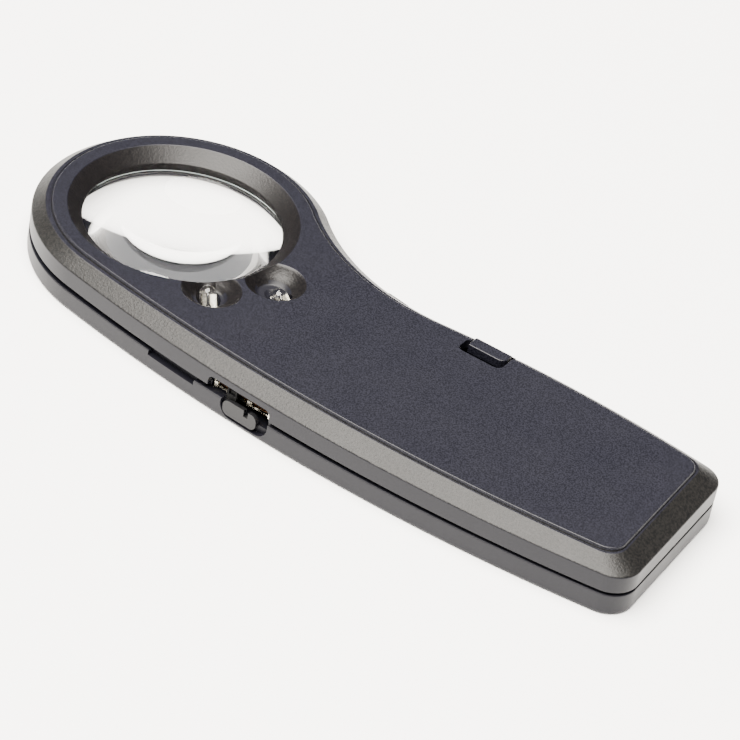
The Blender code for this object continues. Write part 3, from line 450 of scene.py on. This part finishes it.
def bottom_half():
    """The tray, level by level, then what stands in it, then its openings."""
    lip = WALL - LIP_T
    levels = [(outline(p[:4]), p[4])
              for p in bend(level(BASE_ROUND, 0), level(0, 0), level(0, BASE_ROUND))]
    edge = [(outline((i,) * 4), lambda p, d=d: rim(p) - d) for i, d in ((0, 0.2), (0.06, 0.06), (0.2, 0))]
    shell = loft(levels + edge + [
        (outline((lip,) * 4), rim), (outline((lip,) * 4), LIP_TOP - 0.2),
        (outline((lip + 0.2,) * 4), LIP_TOP), (outline((WALL,) * 4), LIP_TOP),
        (outline((WALL,) * 4), FLOOR)])
    gasket_low = LENS_LOW - GAP - GASKET_H - GAP
    gasket_room = LENS_R + GASKET_OUT + GAP
    join(shell,
         cylinder(RING_WALL_R, (FLOOR - 0.5, PARTING - GAP), sides=128),
         *[boss(place, BOSS_R + 0.3, (FLOOR - 0.5, PARTING - GAP)) for place in SCREWS],
         *[boss((x, y), BOARD_POST_R, (FLOOR - 0.5, BOARD_Z - GAP))
           for x in (BOARD_X[0] + 2.0, BOARD_X[1] - 2.0)
           for y in (BOARD_Y[0] + 8.0, BOARD_Y[1] - 5.0)])
    bore = turned([(0, 7.0), (gasket_room, 7.0), (gasket_room, gasket_low),
                   (LENS_R - 1.0, gasket_low), (LENS_R - 1.0, 1.3), (LENS_R - 0.9, 0.9),
                   (LENS_R - 0.5, 0.35), (LENS_R + 0.3, 0), (LENS_R + 1.4, -1.0), (0, -1.0)], 128)
    hook_room = [box((x - HOOK_W / 2 - GAP, x + HOOK_W / 2 + GAP), (COVER_NEAR - 0.4, COVER_NEAR + 1.0),
                     (FLOOR - 0.3, FLOOR + 0.5)) for x in hook_x]
    recess = stadium(RECESS, (RECESS_LOW, RECESS_HIGH), (RECESS_HIGH - RECESS_LOW) / 2 - 0.05)
    return cut(shell, bore,
               *[boss(place, SCREW_R + GAP, (-1.0, 5.0)) for place in SCREWS],
               *[boss(place, SCREW_HEAD_R + GAP, (-1.0, 0.2 + SCREW_HEAD_T + GAP)) for place in SCREWS],
               box(cover_x, (COVER_NEAR, COVER_FAR), (-1, FLOOR + 0.5)), *hook_room,
               latch_slot((-1.0, LIP_TOP + 1.0)),
               plate(recess, (-1.0, RECESS_DEPTH), near_wall),
               box(SWITCH_OPEN, (RECESS_DEPTH + 0.1, WALL + 0.8), (PARTING - 1.0, SWITCH_OPEN_TOP),
                   near_wall),
               box((RECESS[0] + 0.6, RECESS[1] - 0.6), (0.5, WALL + 0.8), (2.0, SWITCH_OPEN_TOP),
                   near_wall),
               box(SIDE_NOTCH, (-1.0, lip - 0.1), (2.75, PARTING + 1.0), near_frame(SIDE_NOTCH_X)),
               button_hole())


# Satin ABS: black plastic from a finely blasted mould, which gives an even, soft grey sheen. The blasting
# is below 0.1 mm and doesn't show, so its grain is drawn 0.5 mm wide and very shallow.
satin_abs = moulded("satin_abs", "#0e0e13", "#121218", 0.40, 0.5, 0.004, 0.3, gloss=0.18)
bottom_casing = settle(bottom_half(), "bottom_casing", "casing", [satin_abs],
                       nodes=["bottom_shell"])
weigh(bottom_casing)


# ================================================================== top casing half
# The upper half is a second ABS moulding: a lens ring with a conical bevel, a raised panel with a fine
# grain, a chamfer with a coarser grain that sparkles, and smooth side walls. Two bowls beside the lens
# hold the lamps, and a pocket at the far edge lets the cover latch through.

THICKNESS = 10.2
SKIN, TOP_WALL = 1.1, 1.6
CHAMFER_DROP, LAND_DROP, PANEL_ROUND = 2.3, 0.45, 0.22
CHAMFER = (2.3, 3.25, 3.7, 2.6)
PANEL_INSET = (3.4, 3.9, 4.2, 3.3)
GROOVE = 0.15
LENS_EDGE = 1.2
RING_TOP_R, LIP_R, BEVEL_DROP = LENS_R + 1.5, LENS_R - 1.3, 2.2
LED_LEN, LED_FLANGE_R = 5.3, 1.8
SCOOP_DROP, SCOOP_FOOT_R = 2.8, 2.2

# For each lamp: its direction from the lens axis, the distance and radius of its scoop's rim, the distance
# of the scoop's foot and of the lamp's tip, the tip's depth below the top face, and how far it looks up.
LAMPS = {
    "uv_led": {"angle": -42.5, "scoop": LENS_R + 3.6, "scoop_r": 5.25, "foot": LENS_R + 2.5,
               "tip": LENS_R + 0.9, "drop": 1.2, "lean": 45.0},
    "white_led": {"angle": -13.3, "scoop": LENS_R + 4.9, "scoop_r": 5.35, "foot": LENS_R + 4.6,
                  "tip": LENS_R + 5.0, "drop": 1.5, "lean": 35.0},
}
CELL_R, CELL_ROOM, BAY_WALL, CONTACT_W = 10.0, 0.4, 1.2, 3.6
LATCH_OUT, LATCH_IN, LATCH_CORNER = 3.0, 5.6, 1.3
POCKET_LEFT, POCKET_FRONT = 1.0, 2.0
ceiling = THICKNESS - TOP_WALL
land = THICKNESS - LAND_DROP


def lamp_frame(lamp):
    """Frame at a lamp's tip, with +Z out of the tip."""
    a = math.radians(lamp["angle"])
    lean = math.radians(lamp["lean"])
    tip = Vector((lamp["tip"] * math.cos(a), lamp["tip"] * math.sin(a), THICKNESS - lamp["drop"]))
    aim = Vector((-math.cos(a) * math.cos(lean), -math.sin(a) * math.cos(lean), math.sin(lean)))
    return Matrix.Translation(tip) @ aim.to_track_quat("Z", "Y").to_matrix().to_4x4()


def scoop(lamp):
    """Funnel in the top face round a lamp, with a small round at its rim and at its foot."""
    top = on_circle((0, 0), lamp["scoop"], lamp["angle"])
    foot = on_circle((0, 0), lamp["foot"], lamp["angle"])
    rings = [(0, 0.0, SCOOP_DROP), (0.03, 0.3, SCOOP_DROP - 0.02), (0.1, 0.55, SCOOP_DROP - 0.15)]
    wide = lamp["scoop_r"] - SCOOP_FOOT_R
    rings += [(share, share * wide + 0.25 * math.sin(math.pi * share), SCOOP_DROP * (1 - share))
              for share in (0.25, 0.4, 0.55, 0.7, 0.85, 0.95)]
    rings += [(1, wide, 0.08), (1, wide + 0.1, 0.0), (1, wide + 0.6, -0.5)]
    return loft([(arc(foot.lerp(top, share), SCOOP_FOOT_R + more, 0, 360, 72), THICKNESS - drop)
                 for share, more, drop in rings])


def lamp_pod(lamp):
    """Solid ground under the top face that the scoop and the lamp's hole are cut into."""
    centre = on_circle((0, 0), lamp["scoop"] + 0.4, lamp["angle"])
    return cylinder(lamp["scoop_r"] + 1.0, (5.2, ceiling + 0.5), centre, 48)


def lamp_hole(lamp):
    """Hole along a lamp's own axis."""
    return cylinder(LED_FLANGE_R + GAP, (-LED_LEN - 4.0, 1.0), sides=40, matrix=lamp_frame(lamp))


def latch_pocket():
    """Pocket in the top face: a slot for the latch, wider in front of its head."""
    x0, x1 = latch_x[0] - LATCH_ROOM, latch_x[1] + LATCH_ROOM
    y0, y1 = latch_wall - LATCH_IN - POCKET_FRONT, latch_wall + 2.0
    step = latch_wall - LATCH_OUT - 1.0
    left_x, r = latch_x[0] - POCKET_LEFT, 1.0
    points = [(x1, y1), (x0, y1), (x0, step)]
    points += arc((left_x + r, step - r), r, 90, 180, 8)
    points += arc((left_x + r, y0 + r), r, 180, 270, 8) + [(left_x + r, y0)]
    points += arc((x1 - LATCH_CORNER, y0 + LATCH_CORNER), LATCH_CORNER, 270, 360, 10)
    points += [(x1, y0 + LATCH_CORNER)]
    return loft([(points, ceiling - 0.6), (points, THICKNESS + 0.6)])


def top_half():
    """The lid, level by level, then what hangs below it, then its openings."""
    skin_top = LIP_TOP + GAP
    chamfer_low = THICKNESS - CHAMFER_DROP

    def up(share):
        return level(tuple(share * c for c in CHAMFER), chamfer_low + share * (land - chamfer_low))

    def panel(more, z):
        return level(tuple(i + more for i in PANEL_INSET), z)

    levels = [level(WALL - 0.1, ceiling), level(WALL - 0.1, skin_top), level(SKIN, skin_top),
              level(SKIN, PARTING)]
    levels += bend(level(0.2, PARTING), level(0, PARTING), level(0, PARTING + 0.2), 3)
    levels += bend(level(0, chamfer_low - 0.22), level(0, chamfer_low), up(0.08))
    levels += bend(up(0.95), up(1.0), level(tuple(c + 0.12 for c in CHAMFER), land), 3)
    levels += [panel(-0.46, land), panel(-0.4, land - GROOVE), panel(-0.2, land - GROOVE),
               panel(-0.1, land + 0.05)]
    levels += bend(panel(0, THICKNESS - PANEL_ROUND), panel(0, THICKNESS), panel(PANEL_ROUND, THICKNESS))
    shell = skin(levels)
    lens_seat = LENS_LOW + LENS_EDGE + GAP
    join(shell,
         cylinder(RING_WALL_R, (PARTING, ceiling + 0.5), sides=128),
         *[lamp_pod(lamp) for lamp in LAMPS.values()],
         cut(cylinder(CELL_R + CELL_ROOM + BAY_WALL, (FLOOR + GAP, ceiling + 0.5), BAY, 64),
             cylinder(CELL_R + CELL_ROOM, (0, ceiling + 1.0), BAY, 64)),
         *[boss(place, BOSS_R, (PARTING, ceiling + 0.5)) for place in SCREWS])
    top, foot = THICKNESS, THICKNESS - BEVEL_DROP
    bore = turned([(0, top + 1), (RING_TOP_R + 1.2, top + 1), (RING_TOP_R + 0.14, top),
                   (RING_TOP_R + 0.06, top - 0.02), (RING_TOP_R - 0.02, top - 0.08),
                   (LIP_R + 0.2, foot + 0.1), (LIP_R + 0.05, foot - 0.05), (LIP_R, foot - 0.2),
                   (LIP_R, foot - 0.6), (LENS_R - 0.3, foot - 0.6), (LENS_R - 0.3, lens_seat),
                   (LENS_R + GAP, lens_seat), (LENS_R + GAP, 2.0), (0, 2.0)], 160)
    slot = (BAY[0] - CELL_R - BAY_WALL - 1.0, BAY[0] - CELL_R + 1.5)
    return cut(shell, bore,
               *[scoop(lamp) for lamp in LAMPS.values()],
               *[lamp_hole(lamp) for lamp in LAMPS.values()],
               *[boss(place, SCREW_R + GAP, (2.0, 8.2)) for place in SCREWS],
               box(slot, (BAY[1] - CONTACT_W / 2 - 0.5, BAY[1] + CONTACT_W / 2 + 0.5), (0, ceiling)),
               plate(stadium(SWITCH_OPEN, (2.0, SWITCH_OPEN_TOP), 1.1), (-1.0, WALL + 0.8), near_wall),
               button_hole(), latch_pocket(), latch_slot((2.0, ceiling)))


def top_finish(centre, normal):
    """Which finish a face of the upper half has: 0 satin wall, 1 fine grain, 2 coarse grain, 3 bevel."""
    reach = centre.to_2d().length
    if centre.z < THICKNESS - CHAMFER_DROP - 0.02 or normal.z < 0.1:
        return 0 if reach > LENS_R + 2 else 3
    if reach < RING_TOP_R - 0.1:
        return 3
    for lamp in LAMPS.values():
        middle = on_circle((0, 0), lamp["scoop"], lamp["angle"])
        if (centre.to_2d() - middle).length < lamp["scoop_r"] and centre.z < THICKNESS - 0.1:
            return 3
    return 2 if centre.z < land - 0.03 and normal.z < 0.97 else 1


# Fine-grained ABS of the panel: an eroded mould face, which gives a cool black with a light speckle. Such
# grains are about 0.1 mm wide, and they are drawn at 0.26 mm so that they show.
fine_grain_abs = moulded("fine_grain_abs", "#0a0a10", "#191920", 0.36, 0.26, 0.03, 0.08)
# Coarse-grained ABS of the chamfer: deep grains catch the lights one by one, so that the band sparkles.
# They are about 0.2 mm wide, and they are drawn at 0.42 mm.
coarse_grain_abs = moulded("coarse_grain_abs", "#060606", "#141312", 0.42, 0.42, 0.12, 0.08)
# The same coarse texture, cut less deep, on the bevel round the lens and in the scoops: a duller sparkle,
# and a darker colour that is painted shade for these hollows.
bevel_abs_painted_shade = moulded("bevel_abs_painted_shade", "#060506", "#100e0e", 0.38, 0.42, 0.09, 0.10)
top_casing = settle(top_half(), "top_casing", "casing",
                    [satin_abs, fine_grain_abs, coarse_grain_abs, bevel_abs_painted_shade], top_finish,
                    nodes=["top_shell"])
weigh(top_casing)


# ================================================================== lens
# A biconvex lens moulded from clear acrylic, with polished domes and a ground edge. It is dropped into the
# casing from below, where a lip of the lens ring stops it and a rubber ring holds it.

LENS_CENTRE = 8.0


def lens_solid():
    """Two equal domes with a straight edge between them."""
    sag = (LENS_CENTRE - LENS_EDGE) / 2
    face_r = (LENS_R ** 2 + sag ** 2) / (2 * sag)
    radii = [LENS_R * i / 24 for i in range(25)]
    dome = [(r, math.sqrt(face_r ** 2 - r ** 2) - (face_r - sag)) for r in radii]
    high = [(r, LENS_LOW + LENS_EDGE + z) for r, z in dome]
    return turned(high + [(r, LENS_LOW - z) for r, z in reversed(dome)], 128)


def clear(name, ior, rough, tint="#ffffff"):
    """Clear plastic that refracts what is seen through it and lets the lights shine straight through."""
    mat = blank(name, IOR=ior, Roughness=rough, Transmission_Weight=1.0, Base_Color=linear(tint))
    path = add(mat, "ShaderNodeLightPath")
    open_air = add(mat, "ShaderNodeBsdfTransparent", {"Color": linear(tint)})
    either = add(mat, "ShaderNodeMath", links={0: path.outputs["Is Shadow Ray"],
                                               1: path.outputs["Is Diffuse Ray"]}, operation="MAXIMUM")
    body = mat.node_tree.nodes["Principled BSDF"]
    mixed = add(mat, "ShaderNodeMixShader", links={0: either.outputs["Value"], 1: body.outputs["BSDF"],
                                                   2: open_air.outputs["BSDF"]})
    out = mat.node_tree.nodes["Material Output"]
    mat.node_tree.links.new(mixed.outputs["Shader"], out.inputs["Surface"])
    return mat


def lens_finish(centre, normal):
    """The domes are polished, and the edge between them is ground."""
    return 1 if abs(normal.z) < 0.2 else 0


# Polished acrylic: clear all through, with sharp glints and a bent view of what lies behind it.
polished_pmma = clear("polished_pmma", 1.49, 0.0)
# Ground acrylic: a pale frosted band, seen through the domes. Its scratches are too fine to show, so they
# are drawn 0.3 mm wide.
ground_pmma = moulded("ground_pmma", "#cfdcdb", "#dde7e6", 0.6, 0.3, 0.01, 0.3, 1.49)
settle(lens_solid(), "reading_lens", "casing", [polished_pmma, ground_pmma], lens_finish,
       nodes=["lens"])


# ================================================================== inner pieces
# The rubber ring, cells, contacts, circuit board, slide switch, small switch, resistors, leads and screws
# keep their CAD shapes and get their real finishes. Their grains are far finer than what shows, so they
# are drawn 0.4 to 1.5 mm wide.

METAL_SWING = 0.08


def dress(mat, *nodes):
    """Gives CAD nodes that stay as they are their finished material."""
    for name in nodes:
        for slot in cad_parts[name].material_slots:
            slot.material = mat


def plain_metal(name, dark, light, rough, grain_mm):
    """Plated or rolled metal: a bare conductor with faint streaks from the rolls."""
    mat = blank(name, Metallic=1.0)
    where = add(mat, "ShaderNodeTexCoord")
    grain = add(mat, "ShaderNodeTexNoise", {"Scale": 1 / (grain_mm * MM), "Detail": 3.0},
                {"Vector": where.outputs["Object"]})
    tint = add(mat, "ShaderNodeMixRGB", {"Color1": linear(dark), "Color2": linear(light)},
               {"Fac": grain.outputs["Fac"]})
    plug(mat, "Base Color", tint.outputs["Color"])
    sheen = add(mat, "ShaderNodeMapRange", {"To Min": rough - METAL_SWING, "To Max": rough + METAL_SWING},
                {"Value": grain.outputs["Fac"]})
    plug(mat, "Roughness", sheen.outputs["Result"])
    return mat


# Tinned steel strip, bent and stamped: bright, slightly warm glints.
tinned_steel = plain_metal("tinned_steel", "#b9b4a6", "#d8d4c8", 0.28, 0.8)
# Nickel plate on cells and springs: a grey-white mirror, softened by the marks of the rolls.
nickel_plate = plain_metal("nickel_plate", "#b5b2aa", "#cfccc4", 0.25, 1.5)
# Drawn brass of the switch pins and their sliding contact: yellow with soft glints.
drawn_brass = plain_metal("drawn_brass", "#b08d4c", "#cfae6b", 0.28, 0.8)
# Zinc plate of the screws: a duller, bluish grey.
zinc_plate = plain_metal("zinc_plate", "#a9adb2", "#c6cacc", 0.35, 0.6)
# Moulded rubber: black and almost without a highlight.
nitrile_rubber = moulded("nitrile_rubber", "#151516", "#1d1d1e", 0.75, 0.5, 0.01, 0.3, 1.52)
# Solder mask, printed on the board: a dark green lacquer with a clear highlight.
solder_mask = moulded("solder_mask", "#0f3d20", "#16502b", 0.35, 1.2, 0.004, 0.3, 1.5)
# Pressed phenolic board: brown and dull.
phenolic = moulded("phenolic_board", "#5a3a22", "#6e4a2c", 0.55, 0.6, 0.01, 0.3, 1.55)
# Moulded black nylon, the darkest stuff here, with painted shade: its near-black colour and its gloss of
# 0.04, far below that of real nylon, were set to keep the pieces in the switch opening as dark as the shade
# there should make them.
black_nylon = moulded("black_nylon", "#060606", "#0a0a0b", 0.5, 0.4, 0.006, 0.3, 1.53, 0.04)
# Dipped lacquer of the resistors: beige with a soft highlight.
resistor_coat = moulded("resistor_coat", "#b08a5c", "#bd986a", 0.3, 0.7, 0.006, 0.3, 1.5)
# Drawn PVC of the leads: smooth, with a clear highlight along the wire.
red_pvc = moulded("red_pvc", "#7d1512", "#8f1d18", 0.35, 0.8, 0.004, 0.3, 1.53)
black_pvc = moulded("black_pvc", "#101011", "#171718", 0.35, 0.8, 0.004, 0.3, 1.53)
dress(nitrile_rubber, "lens_gasket")
dress(tinned_steel, "switch_can")
dress(nickel_plate, "battery_1", "battery_2", "positive_contact", "negative_contact")
dress(drawn_brass, "switch_pin_common", "switch_pin_white", "switch_pin_off", "switch_wiper")
dress(solder_mask, "circuit_board")
dress(phenolic, "switch_base")
dress(black_nylon, "switch_lever", "tact_switch", "tact_plunger")
dress(resistor_coat, "white_resistor", "uv_resistor")
dress(red_pvc, "red_wire")
dress(black_pvc, "black_wire")
dress(zinc_plate, "case_screw_1", "case_screw_2", "case_screw_3", "case_screw_4")


# ================================================================== lamps
# Two 3 mm lamps cast in clear epoxy: a domed body with a flange, and inside it two flat blades of tinned
# steel, whose legs leave through the foot. They lie on their sides and look over the lens.

LED_R, LED_FLANGE_T = 1.5, 1.0


def lamp_body():
    """A dome, a straight barrel and a flange with a small round."""
    dome = [(LED_R * math.sin(math.radians(a)), LED_R * (math.cos(math.radians(a)) - 1))
            for a in range(0, 91, 6)]
    foot = -LED_LEN
    return turned(dome + [(LED_R, foot + LED_FLANGE_T + 0.1), (LED_R + 0.08, foot + LED_FLANGE_T),
                          (LED_FLANGE_R - 0.08, foot + LED_FLANGE_T),
                          (LED_FLANGE_R, foot + LED_FLANGE_T - 0.08), (LED_FLANGE_R, foot + 0.08),
                          (LED_FLANGE_R - 0.08, foot), (0, foot)], 48)


def lamp_core():
    """The two blades of the lead frame: the wide one carries the chip, the other one its wire."""
    low, leg = -LED_LEN - 1.6, -LED_LEN + 0.6
    anvil = plate([(-1.1, low), (-0.7, low), (-0.7, leg), (-0.12, -3.4), (-0.12, -1.7), (-1.05, -1.7),
                   (-1.05, -3.4), (-1.1, leg)], (-0.25, 0.25))
    post = plate([(0.7, low), (1.1, low), (1.1, leg), (0.9, -3.2), (0.9, -1.5), (0.3, -1.5),
                  (0.3, -3.2), (0.7, leg)], (-0.2, 0.2))
    return join(anvil, post)


# Cast epoxy: clear, with glints a little softer than the lens's, and the blades show through it.
clear_epoxy = clear("clear_epoxy", 1.53, 0.03)

for node, lamp in LAMPS.items():
    body, core = lamp_body(), lamp_core()
    for solid in (body, core):
        solid.data.transform(lamp_frame(lamp))
    settle(body, node + "_body", "casing", [clear_epoxy], nodes=[node])
    settle(core, node + "_core", "casing", [tinned_steel], sharp=25.0)


# ================================================================== battery cover and its latch
# The cover is a flat ABS lid with two hooks and three grooves for the thumb. The latch is a springy tongue
# of the same stuff that runs up the far wall and ends in the tab in the top face.

LATCH_T, LATCH_PROUD = 1.2, 0.25
HOOK_REACH, HOOK_T = 1.6, 1.0
GRIP_W, GRIP_T, GRIP_DEPTH = 10.0, 0.7, 0.35


def side_profile(points, x):
    """Solid with the given (y, z) profile, from x[0] to x[1]."""
    return solid_through([[(px, y, z) for y, z in points] for px in x])


SOFTEN_ANGLE = 35


def soften(piece, width, steps=3):
    """Rounds the sharp edges of a small moulding, as its mould does."""
    modifier = piece.modifiers.new("mould rounds", "BEVEL")
    modifier.width = width * MM
    modifier.segments = steps
    modifier.limit_method = "ANGLE"
    modifier.angle_limit = math.radians(SOFTEN_ANGLE)
    modifier.harden_normals = True


def cover_lid():
    """The lid with its hooks, cut by the thumb grooves."""
    lid = box((cover_x[0] + GAP, cover_x[1] - GAP), (COVER_NEAR + GAP, COVER_FAR - GAP), (0, FLOOR))
    hook_top = FLOOR + GAP + HOOK_T
    hook = [(COVER_NEAR - HOOK_REACH, FLOOR + GAP), (COVER_NEAR + 0.6, FLOOR + GAP),
            (COVER_NEAR + 0.6, FLOOR - 0.5), (COVER_NEAR + 2.0, FLOOR - 0.5),
            (COVER_NEAR + 2.0, hook_top - 0.4), (COVER_NEAR + 1.6, hook_top),
            (COVER_NEAR - HOOK_REACH, hook_top)]
    hooks = [side_profile(hook, (x - HOOK_W / 2, x + HOOK_W / 2)) for x in hook_x]
    grip = [box((BAY[0] - GRIP_W / 2, BAY[0] + GRIP_W / 2), (y, y + GRIP_T), (-1.0, GRIP_DEPTH))
            for y in (COVER_FAR - 4.0, COVER_FAR - 5.6, COVER_FAR - 7.2)]
    return cut(join(lid, *hooks), *grip)


def latch_tongue():
    """The tongue in profile, with the inner corner of its head rounded."""
    wall, head, top = latch_wall - 0.1, latch_wall - LATCH_IN, THICKNESS + LATCH_PROUD
    tongue = wall - LATCH_T
    points = [(COVER_FAR, 0), (wall, 0), (wall, THICKNESS - CHAMFER_DROP), (latch_wall - LATCH_OUT, top),
              (head, top), (head, ceiling + 0.1), (tongue, ceiling + 0.1), (tongue, FLOOR),
              (COVER_FAR, FLOOR)]
    corner_x, corner_y = latch_x[1] - LATCH_CORNER, head + LATCH_CORNER
    trim = [(latch_x[1] + 1.0, head - 1.0), (latch_x[1] + 1.0, corner_y)]
    trim += [on_circle((corner_x, corner_y), LATCH_CORNER, -7.5 * i) for i in range(13)]
    trim += [(corner_x, head - 1.0)]
    return cut(side_profile(points, latch_x), loft([(trim, ceiling), (trim, top + 1.0)]))


lid = settle(cover_lid(), "cover_lid", "cover", [satin_abs], nodes=["battery_cover"])
soften(lid, 0.15)
tab = settle(latch_tongue(), "latch_tab", "latch", [fine_grain_abs], nodes=["cover_latch"])
soften(tab, 0.2)


# ================================================================== switch knob
# A moulded thumb piece of smooth ABS that slides along the finger recess, with a notch in its top edge. A
# dark fork on its back reaches through the wall and takes hold of the switch lever.

KNOB_LOW, KNOB_TOP, KNOB_T = 1.0, 3.95, 0.8
KNOB_NOTCH = (0.9, 1.8)
CAN_FRONT, CAN_LOW, CAN_LUG = 1.9, 3.9, 0.4
LEVER_W, LEVER_X = 1.0, -2.4


def knob_solid():
    """The thumb piece and its fork, cut by the notch."""
    thumb = plate(stadium(KNOB, (KNOB_LOW, KNOB_TOP), 1.2), (0.1, 0.1 + KNOB_T), near_wall)
    fork_y = (0.1 + KNOB_T - 0.2, CAN_FRONT - CAN_LUG - GAP)
    outer, inner = 1.0, LEVER_W / 2 + 0.2
    low_z, floor_z, top_z = 2.4, CAN_LOW + 1.0, CAN_LOW + 2.1
    fork = plate([(LEVER_X - outer, low_z), (LEVER_X + outer, low_z), (LEVER_X + outer, top_z),
                  (LEVER_X + inner, top_z), (LEVER_X + inner, floor_z), (LEVER_X - inner, floor_z),
                  (LEVER_X - inner, top_z), (LEVER_X - outer, top_z)], fork_y, near_wall)
    notch = box(KNOB_NOTCH, (-1.0, 0.1 + KNOB_T + 0.2), (2.7, KNOB_TOP + 1.0), near_wall)
    return cut(join(thumb, fork), notch)


def knob_finish(centre, normal):
    """The thumb piece is smooth grey, and the fork above it is black, painted shade for the deep switch
    opening.
    """
    return 1 if centre.z > KNOB_TOP - 0.05 and normal.z < 0.9 else 0


# Smooth ABS: black plastic from a polished mould, a shade greyer than the casing, with a clearer highlight.
smooth_abs = moulded("smooth_abs", "#131315", "#18181a", 0.3, 0.6, 0.003, 0.3)
knob = settle(knob_solid(), "thumb_knob", "slider", [smooth_abs, black_nylon], knob_finish,
              nodes=["switch_knob"])
soften(knob, 0.15)


# ================================================================== push button
# A moulded stadium-shaped cap of smooth ABS. A flange behind the far wall holds it, and its nose presses
# the small switch on the board.

BUTTON_PROUD, NOSE_END = 0.9, 1.9


def button_solid():
    """The cap with its flange and nose."""
    cap = plate(stadium((-BUTTON_W / 2, BUTTON_W / 2), (BUTTON_Z - BUTTON_H / 2, BUTTON_Z + BUTTON_H / 2),
                        BUTTON_ROUND), (-WALL - 0.8, BUTTON_PROUD), far_wall)
    flange = box((-BUTTON_W / 2 - 0.9, BUTTON_W / 2 + 0.9), (-WALL - 1.4, -WALL - 0.6),
                 (BUTTON_Z - 1.2, BUTTON_Z + 1.2), far_wall)
    nose = box((-0.8, 0.8), (-WALL - NOSE_END, -WALL - 1.2), (BUTTON_Z - 0.8, BUTTON_Z + 0.8), far_wall)
    return join(cap, flange, nose)


cap = settle(button_solid(), "push_cap", "button", [smooth_abs], nodes=["uv_button"])
soften(cap, 0.3, 4)


# ================================================================== studio
# A plain white table, one large round soft light overhead, a weaker one in front and a dim, cool sky. The
# camera looks down from the near side, a little tilted.

TABLE_SIZE, SKY_STRENGTH = 14, 0.25

bpy.ops.mesh.primitive_plane_add(size=TABLE_SIZE, location=(0, 0, 0))
table = bpy.context.object
table.name = "table"
# Uncoated white paper: matt, without a highlight, and it lights the part from below.
white_paper = blank("white_paper", Base_Color=linear("#f4f4f4"), Roughness=0.9)
table.data.materials.append(white_paper)

world = bpy.data.worlds.new("studio")
world.use_nodes = True
world.node_tree.nodes["Background"].inputs["Color"].default_value = linear("#e9ecf4")
world.node_tree.nodes["Background"].inputs["Strength"].default_value = SKY_STRENGTH
bpy.context.scene.world = world


def soft_light(name, aim, distance, size, radiance, colour):
    """Round soft light of the given width that looks at the part from the given direction."""
    light = bpy.data.lights.new(name, "AREA")
    light.shape = "DISK"
    light.size = size
    light.energy = radiance * math.pi * math.pi * (size / 2) ** 2
    light.color = linear(colour)[:3]
    lamp = bpy.data.objects.new(name, light)
    back = Vector(aim).normalized()
    lamp.location = back * distance
    lamp.rotation_mode = "QUATERNION"
    lamp.rotation_quaternion = back.to_track_quat("Z", "Y")
    bpy.context.scene.collection.objects.link(lamp)


soft_light("overhead", (-0.14, -0.22, 0.93), 3.0, 3.5, 32.0, "#fffaf2")
soft_light("front", (-0.1, -1.0, 0.35), 3.0, 1.6, 2.0, "#f6f7ff")

CAMERA_AT = (255.7, -434.9, 356.5)    # in the design frame
CAMERA_TURN = (36.47, 26.22, 11.63)    # elevation, azimuth and roll
FOCAL_LENGTH, SENSOR_W = 170.27027, 36.0
camera_data = bpy.data.cameras.new("camera")
camera_data.sensor_width = SENSOR_W
camera_data.lens = FOCAL_LENGTH
camera_data.clip_start = 0.01
camera = bpy.data.objects.new("camera", camera_data)
elevation, azimuth, roll = (math.radians(a) for a in CAMERA_TURN)
back = Vector((math.sin(azimuth) * math.cos(elevation), -math.cos(azimuth) * math.cos(elevation),
               math.sin(elevation)))
camera.matrix_world = (Matrix.Translation(settled @ Vector(CAMERA_AT))
                       @ back.to_track_quat("Z", "Y").to_matrix().to_4x4()
                       @ Matrix.Rotation(roll, 4, "Z"))
bpy.context.scene.collection.objects.link(camera)
bpy.context.scene.camera = camera
